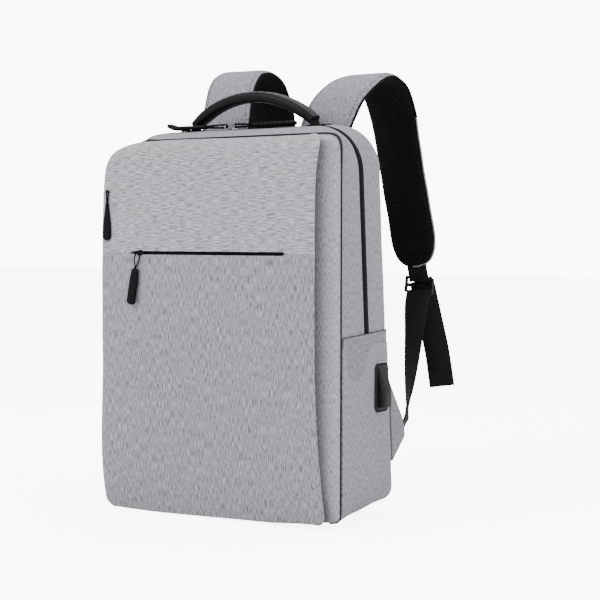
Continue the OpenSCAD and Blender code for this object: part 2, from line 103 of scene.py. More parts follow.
def lean(x, out, up):
    return xyz(x, BACK_Y + out * COS_LEAN - up * SIN_LEAN, up * COS_LEAN + out * SIN_LEAN)


def lean_points(points):
    return lean(*points.T)


def back_at(z):
    return BACK_Y - z * tan(LEAN)


def ease(start, end, x):
    t = np.clip((np.asarray(x, float) - start) / (end - start), 0, 1)
    return t * t * (3 - 2 * t)


def signed_power(value, power):
    return np.sign(value) * np.abs(value) ** power


def full_turn(count):
    return np.linspace(0, 2 * pi, count, endpoint=False)


def unit(vectors, tiny=0.0):
    return vectors / (np.linalg.norm(vectors, axis=-1, keepdims=True) + tiny)


def waves(points, size, seed):
    """Smooth pseudo-random field, the sum of nine plane waves."""
    random = np.random.RandomState(seed)
    direction = unit(random.normal(size=(9, 3)))
    freq = 2 * np.pi / size * (0.55 + 0.9 * random.rand(9))
    phase = random.rand(9) * 6.283
    return np.sin((points @ direction.T) * freq + phase).sum(-1) / 3.0 / 1.5


SAG_X = [-150, -75, 0, 50, 85, 120, 150]
SAG_DROP = [10, 11, 10, 9, 8, 5.5, 4.5]
SAG_Y = -29


def soft_form(points):
    """How the stuffed bag settles: the base sags at the front, the lower left fills out,
    the top left corner is fuller and the top right corner squarer."""
    points = np.array(points, float)
    x, y, z = points.T.copy()
    drop = np.interp(x, SAG_X, SAG_DROP) * (1 - ease(SAG_Y, 60, y))
    drop = drop + 4.5 * np.exp(-((y - SAG_Y) / 18.0) ** 2) * ease(100, 150, x)
    points[:, 2] -= (drop - 4.0 * ease(10, 85, y)) * (1 - ease(0, 150, z))
    forward = np.clip((SAG_Y - y) / 31.0, 0, 1)
    points[:, 1] -= 15.0 * ease(60, -150, x) * (1 - ease(15, 170, z)) * forward
    # top left corner
    dx, dz = -104.0 - x, z - 384.0
    inside = (dx > 0) & (dz > 0) & (x > -170)
    reach = np.hypot(dx, dz) + 1e-9
    fill = np.where(inside, np.abs(2 * dx * dz / reach ** 2) ** 1.4, 0)
    fill = fill * np.clip(reach / 50, 0, 1.1) ** 2
    fill = fill * (0.3 * ease(-60, -30, y) + 0.7 * ease(-29, -6, y))
    fill = fill * (1 - 0.5 * ease(30, 95, y))
    points[:, 0] -= 10.5 * fill * dx / reach
    points[:, 2] += 10.5 * fill * dz / reach
    # top right corner, pushed towards a fifth-power superellipse
    dx, dz = points[:, 0] - (HALF_W - R_SEAM), points[:, 2] - (SEAM_Z - R_SEAM)
    reach = np.hypot(dx, dz) + 1e-9
    push = (np.abs(dx / reach) ** 5 + np.abs(dz / reach) ** 5) ** -0.2 - 1
    push = np.where((dx > 0) & (dz > 0) & (reach < 60), push, 0)
    push = push * np.clip(reach / R_SEAM, 0, 1) ** 2 * (1 - ease(-24, 12, y))
    points[:, 0] += dx * push
    points[:, 2] += dz * push
    return points


def slope(grid, axis, closed=False):
    if closed:
        return np.roll(grid, -1, axis) - np.roll(grid, 1, axis)
    return np.gradient(grid, axis=axis)


def normals(grid, closed=False, flip=False):
    normal = unit(np.cross(slope(grid, 0), slope(grid, 1, closed)), 1e-9)
    return -normal if flip else normal


def arclen(grid, axis=0):
    steps = np.linalg.norm(np.diff(grid, axis=axis), axis=-1)
    return np.insert(np.cumsum(steps, axis=axis), 0, 0, axis=axis)


def sample(values, run, at):
    return np.stack([np.interp(at, run, column) for column in values.T], -1)


def curve(points, steps):
    """Catmull-Rom curve through the points, ending on the last one."""
    points = np.asarray(points, float)
    padded = np.concatenate([points[:1], points, points[-1:]])
    out = []
    for a, b, c, d in zip(padded, padded[1:], padded[2:], padded[3:]):
        for k in range(steps):
            t = k / steps
            out.append(0.5 * (2 * b + (c - a) * t + (2 * a - 5 * b + 4 * c - d) * t * t
                              + (3 * b - a - 3 * c + d) * t ** 3))
    out.append(points[-1])
    return np.array(out)


def ripple(grid, seed, big, small, fade=3, sides=True, closed=False, flip=False, scale=1.0):
    """Gentle waves square to the sheet, fading out over `fade` cells at its edges."""
    rows, cols = grid.shape[:2]
    i, j = np.arange(rows)[:, None], np.arange(cols)[None, :]
    mask = ease(0, fade, np.minimum(i, rows - 1 - i))
    if sides:
        mask = mask * ease(0, fade, np.minimum(j, cols - 1 - j))
    height = (big * waves(grid, 130, seed) + small * waves(grid, 38, seed + 1)) * (mask * scale)
    return grid + normals(grid, closed, flip) * height[..., None]


# ---------------------------------------------------------------- mesh helpers
def quads(rows, cols, wrap=True, ring=False, base=0):
    """Quads of a grid; wrap joins its last column to its first, ring its last row."""
    faces = []
    for i in range(rows if ring else rows - 1):
        here, there = base + i * cols, base + (i + 1) % rows * cols
        for j in range(cols if wrap else cols - 1):
            k = (j + 1) % cols
            faces.append((here + j, here + k, there + k, there + j))
    return faces


def capped(rows, cols, base=0):
    last = base + (rows - 1) * cols
    caps = [tuple(range(base, base + cols))[::-1], tuple(range(last, last + cols))]
    return quads(rows, cols, base=base) + caps


def stacked(rows, cols):
    """Faces of a stack of like outlines, ends first."""
    ends = [tuple(range(cols)), tuple(range(rows * cols - 1, (rows - 1) * cols - 1, -1))]
    return ends + quads(rows, cols)


def link(name, data):
    ob = bpy.data.objects.new(name, data)
    bpy.context.scene.collection.objects.link(ob)
    return ob


def tie(ob, body=None, node=None):
    """Parent the piece to a body, or pass it to a function instead, and hide the part it replaces."""
    if callable(body):
        body(ob)
    elif body:
        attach(ob, body)
    if node:
        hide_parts(node)
    return ob


def flap_fold(ob):
    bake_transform(ob)


def shade(mesh, sharp=None):
    mesh.polygons.foreach_set("use_smooth", [True] * len(mesh.polygons))
    if sharp:
        mesh.set_sharp_from_angle(angle=radians(sharp))


def make(name, points, faces, mat, uv=None, sharp=45, body=None, node=None):
    points = soft_form(np.reshape(points, (-1, 3)))
    mesh = bpy.data.meshes.new(name)
    mesh.from_pydata((points * 0.001).tolist(), [], faces)
    if uv is not None:
        corner = np.zeros(len(mesh.loops), np.int32)
        layer = mesh.uv_layers.new(name="UVMap")
        mesh.loops.foreach_get("vertex_index", corner)
        uv = np.reshape(uv, (-1, 2))[corner] * 0.001
        layer.data.foreach_set("uv", uv.astype(np.float32).ravel())
    bm = bmesh.new()
    bm.from_mesh(mesh)
    bmesh.ops.remove_doubles(bm, verts=bm.verts, dist=1e-6)
    bmesh.ops.recalc_face_normals(bm, faces=bm.faces)
    bm.to_mesh(mesh)
    bm.free()
    shade(mesh, sharp)
    mesh.materials.append(mat)
    return tie(link(name, mesh), body, node)


def shell(name, grid, thickness, mat, flip=False, closed=False, sharp=50, **ties):
    """A cloth sheet under a grid of points, as one closed mesh."""
    rows, cols = grid.shape[:2]
    under = rows * cols
    faces = []
    for quad in quads(rows, cols, wrap=closed):
        faces += [quad, tuple(under + v for v in quad[::-1])]
    index = np.arange(under).reshape(rows, cols)
    first, last = index[0].tolist(), index[-1].tolist()
    if closed:
        rims = [(first + first[:1], False), (last + last[:1], True)]
    else:
        rims = [(first, False), (last, True),
                (index[:, 0].tolist(), True), (index[:, -1].tolist(), False)]
    for rim, turned in rims:
        for v, w in zip(rim, rim[1:]):
            face = (v, under + v, under + w, w)
            faces.append(face[::-1] if turned else face)
    uv = xyz(arclen(grid, 1).mean(0)[None, :], arclen(grid, 0).mean(1)[:, None], 0)[..., :2]
    points = np.stack([grid, grid - normals(grid, closed, flip) * thickness])
    return make(name, points, faces, mat, np.stack([uv, uv]), sharp, **ties)


def round_sections(path, radius, sides, up=(0, 0, 1.0), closed=False):
    """Circles square to a path, carried along it without twist."""
    tangent = unit(slope(path, 0, closed), 1e-9)
    side = np.array(up, float)
    if abs(side @ tangent[0]) > 0.95:
        side = np.array([0, 1.0, 0.1])
    first = []
    for direction in tangent:
        side = unit(side - (side @ direction) * direction, 1e-9)
        first.append(side)
    first = np.array(first)
    second = np.cross(tangent, first)
    angle = (np.arange(sides) * 2 * np.pi / sides)[None, :, None]
    ring = np.cos(angle) * first[:, None] + np.sin(angle) * second[:, None]
    return path[:, None] + radius[:, None, None] * ring


def tube(name, path, radius, mat, sides=10, closed=False, **ties):
    count = len(path)
    points = round_sections(path, np.full(count, float(radius)), sides, closed=closed)
    faces = quads(count, sides, ring=True) if closed else capped(count, sides)
    around = np.arange(sides) * 2 * np.pi / sides * radius
    uv = np.stack([np.repeat(arclen(path), sides), np.tile(around, count)], -1)
    return make(name, points, faces, mat, uv, **ties)


def side_frame(path, side):
    tangent = unit(np.gradient(path, axis=0))
    side = unit(side - (side * tangent).sum(1)[:, None] * tangent)
    return tangent, side, np.cross(side, tangent)


def carry(path, side, profile, width, thick):
    """Profile (u, v) along a path: u runs along side, v along side x tangent."""
    side, normal = side_frame(path, side)[1:]
    across = (width[:, None] * profile[None, :, 0])[..., None] * side[:, None]
    return path[:, None] + across + (thick[:, None] * profile[None, :, 1])[..., None] * normal[:, None]


def sweep(name, path, side, profile, mat, width=1.0, thick=1.0, sharp=50, **ties):
    count = len(path)
    profile = np.asarray(profile, float)
    points = carry(path, np.asarray(side, float), profile,
                   np.broadcast_to(width, (count,)), np.broadcast_to(thick, (count,)))
    sides = len(profile)
    uv = np.stack([np.tile(arclen(profile), count), np.repeat(arclen(path), sides)], -1)
    return make(name, points, capped(count, sides), mat, uv, sharp, **ties)


def apply_mods(ob):
    graph = bpy.context.evaluated_depsgraph_get()
    mesh = bpy.data.meshes.new_from_object(ob.evaluated_get(graph))
    ob.modifiers.clear()
    old = ob.data
    ob.data = mesh
    bpy.data.meshes.remove(old)


def join(parts, name):
    """Several meshes of one material as one piece."""
    bm = bmesh.new()
    for part in parts:
        bm.from_mesh(part.data)
    mesh = bpy.data.meshes.new(name)
    bm.to_mesh(mesh)
    bm.free()
    mesh.materials.append(parts[0].data.materials[0])
    ob = link(name, mesh)
    for part in parts:
        data = part.data
        bpy.data.objects.remove(part)
        bpy.data.meshes.remove(data)
    return ob


def bevel(ob, width, segments=2, angle=40):
    mod = ob.modifiers.new("bevel", "BEVEL")
    mod.width = width * 0.001
    mod.segments = segments
    mod.limit_method = "ANGLE"
    mod.angle_limit = radians(angle)
    mod.harden_normals = False
    apply_mods(ob)
    ob.data.set_sharp_from_angle(angle=radians(50))
    return ob


BLOCK_FACES = [(0, 1, 3, 2), (4, 6, 7, 5), (0, 4, 5, 1), (2, 3, 7, 6), (0, 2, 6, 4), (1, 5, 7, 3)]


def block(name, lo, hi, mat, radius, segments=3, place=None, body=None, node=None):
    points = np.array([(x, y, z) for x in (lo[0], hi[0]) for y in (lo[1], hi[1])
                       for z in (lo[2], hi[2])], float)
    if place:
        points = place(points)
    ob = make(name, points, BLOCK_FACES, mat, sharp=30)
    return tie(bevel(ob, radius, segments, 30), body, node)


def rounded(width, height, radius, steps=6):
    """Rounded rectangle about the origin, as (across, up)."""
    out = []
    for sx, sz, start in ((1, 1, 0), (-1, 1, 90), (-1, -1, 180), (1, -1, 270)):
        for i in range(steps + 1):
            angle = radians(start + 90 * i / steps)
            out.append((sx * (width / 2 - radius) + radius * cos(angle),
                        sz * (height / 2 - radius) + radius * sin(angle)))
    return np.array(out)


# ---------------------------------------------------------------- materials
def tint(colour, gain):
    return tuple(x * gain for x in colour)


class Shader:
    """Node helpers for one material or world."""

    def __init__(self, owner, shader="Principled BSDF"):
        owner.use_nodes = True
        self.owner = owner
        self.tree = owner.node_tree
        self.shader = self.tree.nodes[shader]

    def feed(self, target, values):
        for key, value in values.items():
            if isinstance(value, bpy.types.NodeSocket):
                self.tree.links.new(value, target.inputs[key])
            else:
                target.inputs[key].default_value = value

    def node(self, kind, inputs, out=0, **settings):
        made = self.tree.nodes.new("ShaderNode" + kind)
        for key, value in settings.items():
            setattr(made, key, value)
        self.feed(made, inputs)
        return made.outputs[out]

    def coord(self, space, *scale):
        """Coordinates scaled by one number or by three."""
        scale = scale if len(scale) == 3 else scale * 3
        source = self.node("TexCoord", {}, space)
        return self.node("Mapping", {"Scale": scale, "Vector": source})

    def noise(self, vector, detail, rough):
        return self.node("TexNoise", {"Scale": 1.0, "Detail": detail, "Roughness": rough,
                                      "Vector": vector}, "Fac")

    def math(self, operation, *values):
        return self.node("Math", dict(enumerate(values)), operation=operation)

    def linear(self, value, gain, base):
        return self.math("MULTIPLY_ADD", value, gain, base)

    def weighted(self, first, weight1, second, weight2):
        return self.math("ADD", self.math("MULTIPLY", first, weight1),
                         self.math("MULTIPLY", second, weight2))

    def ramp(self, factor, stops):
        made = self.tree.nodes.new("ShaderNodeValToRGB")
        elements = made.color_ramp.elements
        while len(elements) < len(stops):
            elements.new(0.5)
        for element, (position, colour) in zip(elements, stops):
            element.position = position
            element.color = (*colour, 1)
        self.feed(made, {"Fac": factor})
        return made.outputs["Color"]

    def shades(self, factor, colour, *stops):
        """Ramp through gains of one colour; stops are (position, gain)."""
        return self.ramp(factor, [(position, tint(colour, gain)) for position, gain in stops])

    def ribs(self, vector, direction, width, distortion):
        """Bands about `width` metres apart."""
        return self.node("TexWave", {"Scale": 0.314 / width, "Distortion": distortion,
                                     "Detail": 1.0, "Vector": vector}, "Fac",
                         bands_direction=direction)

    def bump(self, height, strength, distance):
        normal = self.node("Bump", {"Strength": strength, "Distance": distance,
                                    "Height": height})
        self.feed(self.shader, {"Normal": normal})

    def wear_and_shade(self, colour, factor, amount):
        """colour times (1 - amount + amount * factor); used for wear and tone patches, and for the
        painted shade in melange
        """
        gain = self.linear(factor, amount, 1 - amount)
        return self.node("VectorMath", {0: colour, "Scale": gain}, operation="SCALE")

    def finish(self, **values):
        self.feed(self.shader, {key.replace("_", " "): v for key, v in values.items()})
        return self.owner


def new_shader(name):
    return Shader(bpy.data.materials.new(name))


def melange(name, colour, streak, depth, weave=0.0011, bump=0.35, painted_shade=None):
    """Two-tone yarn cloth: streaks along the threads, a plain weave in relief, slight wear.
    The last argument, ((distance, tone), ...) across the cloth, is painted shade: it darkens the cloth
    near one edge as a shadow would."""
    mat = new_shader(name)
    u, v = streak
    yarn = mat.noise(mat.coord("UV", u, v, u), detail=2.0, rough=0.55)
    fine = u * 1.7 + 30
    other = mat.noise(mat.coord("UV", fine, v * 1.6 + 30, fine), detail=2.0, rough=0.6)
    colour = mat.shades(mat.weighted(yarn, 0.62, other, 0.38), colour,
                        (0.36, 1 - 0.9 * depth), (0.46, 1 - 0.45 * depth),
                        (0.54, 1 + 0.4 * depth), (0.64, 1 + 1.1 * depth))
    cloth = mat.coord("UV", 1)
    threads = mat.math("MAXIMUM", mat.ribs(cloth, "X", weave, 0.6),
                       mat.ribs(cloth, "Y", weave / 1.07, 0.6))
    patches = mat.noise(mat.coord("Object", 7), detail=2.0, rough=0.5)
    colour = mat.wear_and_shade(mat.wear_and_shade(colour, threads, 0.14), patches, 0.12)
    # painted shade: the colour is darkened across the cloth by the listed tones, darkest at distance 0
    if painted_shade:
        across = mat.node("SeparateXYZ", {0: mat.coord("UV", 1)}, 1)
        far = painted_shade[-1][0]
        tone = mat.shades(mat.math("DIVIDE", across, far), (1, 1, 1),
                          *[(distance / far, gain) for distance, gain in painted_shade])
        colour = mat.wear_and_shade(colour, mat.math("ADD", tone, 0.0), 1.0)
    mat.bump(mat.weighted(threads, 0.7, yarn, 0.6), bump, 0.0004)
    return mat.finish(Base_Color=colour, Roughness=mat.linear(yarn, gain=0.14, base=0.80),
                      Sheen_Weight=0.04, Sheen_Roughness=0.5, Specular_IOR_Level=0.06)


def airmesh(name, colour, space, pitch):
    mat = new_shader(name)
    cell = mat.node("TexVoronoi", {"Scale": 1 / pitch, "Randomness": 0.25,
                                   "Vector": mat.coord(space, 1, 1.25, 1)}, "Distance")
    holes = mat.shades(cell, colour, (0.0, 0.25), (0.28, 0.45), (0.42, 1), (0.8, 1.9))
    patches = mat.noise(mat.coord("Object", 60), detail=3, rough=0.6)
    mat.bump(mat.math("MINIMUM", cell, 0.5), 0.8, 0.0012)
    return mat.finish(Base_Color=mat.wear_and_shade(holes, patches, 0.35), Roughness=0.9,
                      Sheen_Weight=0.0, Specular_IOR_Level=0.02)


def webbing(name, colour, rib=0.0019):
    mat = new_shader(name)
    cloth = mat.coord("UV", 1)
    height = mat.weighted(mat.ribs(cloth, "X", rib, 0.25), 0.8,
                          mat.ribs(cloth, "Y", rib * 0.8, 0.5), 0.35)
    fuzz = mat.noise(mat.coord("UV", 300, 90, 300), detail=3, rough=0.6)
    colour = mat.shades(height, colour, (0.0, 0.35), (0.5, 1), (1.0, 1.8))
    mat.bump(height, 0.7, 0.0007)
    return mat.finish(Base_Color=mat.wear_and_shade(colour, fuzz, 0.4), Roughness=0.72,
                      Sheen_Weight=0.0, Specular_IOR_Level=0.035)


def moulded(name, colour, rough=0.45, grain=0.0006, wear=0.5, spec=0.10, bump=0.25):
    """Moulded rubber or plastic: fine grain, duller patches of wear, slightly paler edges."""
    mat = new_shader(name)
    fine = mat.noise(mat.coord("Object", 1 / grain), detail=2, rough=0.5)
    patches = mat.noise(mat.coord("Object", 55), detail=4, rough=0.6)
    pointy = mat.node("NewGeometry", {}, "Pointiness")
    edge = mat.shades(pointy, (1, 1, 1), (0.5, 0), (0.58, 1))
    amount = mat.math("MULTIPLY", mat.math("MULTIPLY", edge, patches), wear)
    # sockets 6 and 7 are the Mix node's two colours, output 2 its colour result
    mixed = mat.node("Mix", {6: (*colour, 1), 7: (*tint(colour, 3.2), 1), 0: amount}, 2,
                     data_type="RGBA")
    mat.bump(fine, bump, 0.0002)
    return mat.finish(Base_Color=mat.wear_and_shade(mixed, patches, 0.3),
                      Roughness=mat.linear(patches, gain=0.22, base=rough - 0.1),
                      Specular_IOR_Level=spec)


def metal(name, colour):
    mat = new_shader(name)
    brushed = mat.noise(mat.coord("Object", 900, 900, 200), detail=3, rough=0.6)
    patches = mat.noise(mat.coord("Object", 90), detail=3, rough=0.6)
    colour = mat.shades(patches, colour, (0.3, 0.75), (0.7, 1.1))
    mat.bump(brushed, 0.15, 0.0001)
    return mat.finish(Base_Color=mat.wear_and_shade(colour, brushed, 0.15), Metallic=1.0,
                      Roughness=mat.linear(brushed, gain=0.25, base=0.3))


def foamy(name, colour):
    mat = new_shader(name)
    cell = mat.node("TexVoronoi", {"Scale": 900, "Vector": mat.coord("Object", 1)}, "Distance")
    patches = mat.noise(mat.coord("Object", 200), detail=4, rough=0.7)
    colour = mat.shades(cell, colour, (0, 0.4), (0.6, 1.4))
    mat.bump(cell, 0.6, 0.0005)
    return mat.finish(Base_Color=mat.wear_and_shade(colour, patches, 0.4), Roughness=0.95,
                      Specular_IOR_Level=0.15)


GREY = (0.143, 0.137, 0.152)
# painted shade for the front pocket gusset: darkest at the front panel's edge, where the overhanging
# panel casts its shadow, paling towards the seam
GUSSET_PAINTED_SHADE = ((0.0, 0.10), (0.005, 0.16), (0.012, 0.36), (0.020, 0.76), (0.030, 1.0),
                 (0.045, 1.08))
UPPER_CLOTH = melange("cloth_cross", tint((0.186, 0.1825, 0.199), 1.03), (85, 1200), depth=0.66)
LOWER_CLOTH = melange("cloth_upright", tint(GREY, 1.07), (1350, 105), depth=0.68)
SIDE_CLOTH = melange("cloth_side", tint(GREY, 0.91), (1350, 190), depth=0.55)
ARCH_CLOTH = melange("cloth_arch", tint(GREY, 1.08), (190, 1350), depth=0.55)
# pocket gusset cloth: a paler grey with the painted shade above multiplied in
GUSSET_CLOTH_PAINTED_SHADE = melange("cloth_gusset_painted_shade", tint(GREY, 1.5), (190, 1350), depth=0.5,
                       painted_shade=GUSSET_PAINTED_SHADE)
STRAP_CLOTH = melange("cloth_strap", (0.146, 0.140, 0.162), (1000, 180), depth=0.45)
LINING = melange("lining_cloth", (0.045, 0.045, 0.05), (260, 260), depth=0.1, weave=0.0007,
                 bump=0.2)
STRAP_MESH = airmesh("air_mesh", (0.0062, 0.0064, 0.0066), space="UV", pitch=0.0032)
PAD_MESH = airmesh("air_mesh_pad", (0.0110, 0.0112, 0.0118), space="Object", pitch=0.0036)
WEBBING = webbing("webbing", (0.0078, 0.0080, 0.0076))
TAPE = webbing("zip_tape", (0.0065, 0.0065, 0.0075), rib=0.0011)
BINDING = webbing("binding_tape", (0.018, 0.018, 0.020), rib=0.0009)
PIPING = melange("pale_piping", (0.21, 0.205, 0.225), (500, 200), depth=0.12)
THREAD = webbing("sewing_thread", (0.085, 0.083, 0.092), rib=0.0005)
DARK_THREAD = webbing("dark_thread", (0.03, 0.03, 0.03), rib=0.0005)
COIL = moulded("zip_coil", (0.0050, 0.0050, 0.0056), rough=0.55, spec=0.04)
RUBBER = moulded("rubber", (0.0024, 0.0024, 0.0031), rough=0.5, wear=0.3, spec=0.035)
GRIP_RUBBER = moulded("rubber_handle", (0.0026, 0.0027, 0.0031), rough=0.42, wear=0.35,
                      grain=0.0009, bump=0.4, spec=0.065)
PLASTIC = moulded("plastic", (0.0030, 0.0030, 0.0033), rough=0.5, grain=0.0005)
PORT_PLASTIC = moulded("port_plastic", (0.0030, 0.0030, 0.0033), rough=0.4, grain=0.0004)
METAL = metal("slider_metal", (0.15, 0.15, 0.16))
FOAM = foamy("foam", (0.05, 0.05, 0.052))
CORD = webbing("pull_cord", (0.0030, 0.0030, 0.0033), rib=0.0007)
CELL = moulded("cell_wrap", (0.04, 0.10, 0.28), rough=0.35, grain=0.002)
BUTTON = moulded("button", (0.42, 0.42, 0.44), rough=0.3)
CABLE = moulded("cable_sheath", (0.014, 0.014, 0.015), rough=0.4)
BOARD = moulded("stiffener", (0.03, 0.03, 0.032), rough=0.6, grain=0.0012)

# height and thickness of a stitch along its length, as shares of its radius
STITCH_RISE = np.array([-0.8, 0.35, 0.7, 0.35, -0.8])
STITCH_GIRTH = np.array([0.55, 0.95, 1, 0.95, 0.55])
STITCH_SIDES = 6


def stitches(name, path, up, mat=THREAD, length=2.6, gap=1.5, radius=0.32, lift=0.15, **ties):
    """A row of short thread stitches lying on a curve; up holds the surface normals."""
    up = np.broadcast_to(np.asarray(up, float), path.shape)
    run = arclen(path)
    size = 5 * STITCH_SIDES
    sections, faces = [], []
    start = gap
    while start + length < run[-1]:
        at = np.linspace(start, start + length, 5)
        normal = unit(sample(up, run, at))
        spine = sample(path, run, at) + normal * (lift + radius * 0.9 * STITCH_RISE)[:, None]
        faces += capped(5, STITCH_SIDES, base=size * len(sections))
        sections.append(round_sections(spine, radius * STITCH_GIRTH, STITCH_SIDES, normal[0]))
        start += length + gap
    make(name, sections, faces, mat, np.zeros((len(sections) * size, 2)), **ties)


# ---------------------------------------------------------------- front panels
def front_y(z):
    """Front face: slopes back below z = 200 and curves in to the seam at the top."""
    z = np.asarray(z, float)
    upper = np.maximum(0, 1 - np.clip((z - 200) / (SEAM_Z - 200), 0, 1) ** 8) ** 0.3
    lower = 1 - 0.42 * (np.clip(200 - z, 0, 200) / 200.0) ** 2.2
    return SEAM_Y - DEPTH * np.where(z < 200, lower, upper)


def half_width(z, half, z0, z1, r_top, r_foot):
    """Half width at height z of a rectangle with rounded corners."""
    top = np.clip(z - (z1 - r_top), 0, r_top)
    foot = np.clip((z0 + r_foot) - z, 0, r_foot)
    return (half - (r_top - np.sqrt(np.maximum(0, r_top * r_top - top * top)))
            - (r_foot - np.sqrt(np.maximum(0, r_foot * r_foot - foot * foot))))


def panel_half(z, half=HALF_W):
    return half_width(z, half, 0.2, SEAM_Z, R_SEAM, R_FRONT)


LEFT_TURN, RIGHT_TURN = 15.0, 4.0    # widths over which the panel edges turn back
ZIP_FACE = float(front_y(ZIP_Z))


def left_turn(x, z, half=HALF_W):
    t = np.clip((-x - (half - LEFT_TURN)) / LEFT_TURN, 0, 1)
    return (10.0 + 6.0 * ease(250, 390, z)) * (1 - np.sqrt(np.maximum(0, 1 - t * t * 0.97)))


def edge_turn(x, z, half):
    t = np.clip((x - (half - RIGHT_TURN)) / RIGHT_TURN, 0, 1)
    return left_turn(x, z, half) + 1.6 * (1 - np.sqrt(np.maximum(0, 1 - t * t * 0.9)))


def edge_room(y):
    return np.clip((SEAM_Y - y) / 16.0, 0, 1)


def margin_y(x, z):
    return front_y(z) + left_turn(x, z)


def panel_back(x, z):
    """Rear face of the front panels at a point near their edge."""
    y = front_y(z)
    return y + edge_turn(x, z, panel_half(z)) * edge_room(y) + 1.9


def front_grid(levels, above_zip, seed):
    s = signed_power(np.linspace(-1, 1, 81), 0.86)[None, :]
    flat_z = np.repeat(levels[:, None], 81, 1)
    x = s * panel_half(flat_z, HALF_W - 0.2)
    # the edge along the zip draws away from it
    beside_zip = ease(ZIP_X0 - 5, ZIP_X0 + 1, x) * (1 - ease(ZIP_X1 - 1, ZIP_X1 + 5, x))
    gap = 0.2 + 2.0 * beside_zip
    if above_zip:
        z = flat_z + gap * (1 - ease(0, 60, flat_z - levels[0]))
    else:
        z = flat_z - gap * (1 - ease(0, 60, levels[-1] - flat_z))
    y = front_y(np.clip(z, 0, SEAM_Z))
    full = panel_half(flat_z)
    room = edge_room(y)
    y = y + edge_turn(s * full, z, full) * room
    # stuffing, held in at the zip and its hem
    off_zip = 1 - np.exp(-((z - ZIP_Z) / 26.0) ** 2)
    belly = (1.6 * (1 - s ** 4) * ease(0, 50, z) + 7.0 * (1 - s ** 2) * (1 - ease(0, 75, z)))
    y = y - belly * off_zip * room * ease(-HALF_W, -HALF_W + 30, x)
    y = y + 0.5 * np.exp(-((z - ZIP_Z) / 5.0) ** 2)
    grid = xyz(x, y, z - 3.6 * ease(396, 417.5, z))
    return ripple(grid, seed, 0.9, 0.28, fade=5, scale=0.25 + 0.75 * off_zip)


upper_levels = ZIP_Z + (SEAM_Z - ZIP_Z) * (1 - (1 - np.linspace(0, 1, 56)) ** 1.9)
lower_levels = np.concatenate([np.linspace(0.3, 18, 12)[:-1], np.linspace(18, ZIP_Z, 84)])
upper_grid = front_grid(upper_levels, True, 11)
lower_grid = front_grid(lower_levels, False, 23)
shell("front_upper_cloth", upper_grid, 2.2, UPPER_CLOTH, body="front_flap",
      node="front_panel_upper")
shell("front_lower_cloth", lower_grid, 2.2, LOWER_CLOTH, body=flap_fold,
      node="front_panel_lower")
stitches("zip_topstitch_upper", upper_grid[2, 3:-3], (0, -1, 0), lift=0.1, body="front_flap")
stitches("zip_topstitch_lower", lower_grid[-4, 3:-3], (0, -1, 0), lift=0.1, body=flap_fold)


# ---------------------------------------------------------------- outlines
# An outline's columns are x, z and its outward normal in x and z.
def arch(half, top, r, z0, n_side=26, n_arc=22, n_top=40):
    """Up the left side, over the top and down the right."""
    arc = np.linspace(0, np.pi / 2, n_arc)
    rows = [(-half, z, -1, 0) for z in np.linspace(z0, top - r, n_side)[:-1]]
    rows += [(-half + r - r * cos(t), top - r + r * sin(t), -cos(t), sin(t)) for t in arc]
    rows += [(x, top, 0, 1) for x in np.linspace(-half + r, half - r, n_top)[1:-1]]
    rows += [(half - r + r * sin(t), top - r + r * cos(t), sin(t), cos(t)) for t in arc]
    rows += [(half, z, 1, 0) for z in np.linspace(top - r, z0, n_side)[1:]]
    return np.array(rows)


def panel_loop(half, z0, top):
    """The arch closed by a foot with smaller corners."""
    r = R_FRONT
    arc = np.linspace(0, np.pi / 2, 10)
    rows = [(half - r + r * cos(t), z0 + r - r * sin(t), cos(t), -sin(t)) for t in arc[1:]]
    rows += [(x, z0, 0, -1) for x in np.linspace(half - r, -half + r, 40)[1:-1]]
    rows += [(-half + r - r * sin(t), z0 + r - r * cos(t), -sin(t), -cos(t))
             for t in arc[:-1]]
    over = arch(half, top, R_SEAM, z0 + r, n_side=60, n_arc=18, n_top=30)
    return np.concatenate([over, np.array(rows)])


def back_arch(out, rise=0.0):
    """Arch in the back's frame, its feet on the level FOLD_Z + rise."""
    foot = (FOLD_Z + rise - out * SIN_LEAN) / COS_LEAN
    return arch(HALF_W - 0.1, BACK_TOP - 0.1, R_BACK, foot)


def inset(outline, by):
    x, z, normal_x, normal_z = outline.T
    return x - normal_x * by, z - normal_z * by


def on_back(outline, out, by=0.0):
    x, up = inset(outline, by)
    return lean(x, out, up)


# ---------------------------------------------------------------- gussets and seam
def pocket_gusset():
    outline = panel_loop(HALF_W, 0.3, SEAM_Z)
    z = outline[:, 1]
    low = 0.14 + 0.86 * ease(4, 60, z)
    plain_y = front_y(z) + 3.6
    deep = np.maximum(0.8, SEAM_Y - 0.5 - plain_y)
    draw = np.clip(deep / 18, 0.15, 1)
    front_in = np.where(deep < 3, 4.5, 0.9 + 8.4 * draw * low)
    front = panel_back(*inset(outline, front_in)) + 1.2 * ease(4, 60, z)
    high = ease(330, 350, z)
    front = np.minimum(plain_y, SEAM_Y - 1.3) * high + front * (1 - high)
    front = np.minimum(front, SEAM_Y - 1.3)
    t = np.linspace(0, 1, 13)[:, None]
    by = np.where(deep < 3, 0.6 + 3.9 * (1 - t) ** 0.6, 0.9 + 8.4 * (1 - t) ** 1.25 * draw * low)
    x, z = inset(outline, by)
    grid = xyz(x, front + np.maximum(0.8, SEAM_Y - 0.5 - front) * t, z)
    grid = ripple(grid, 31, 0.5, 0.35, sides=False, closed=True)
    # the gusset's cloth carries painted shade, darkest by the front panel's edge
    shell("front_pocket_gusset_cloth", grid, 1.4, GUSSET_CLOTH_PAINTED_SHADE, closed=True, flip=True,
          body=flap_fold, node="front_pocket_gusset")


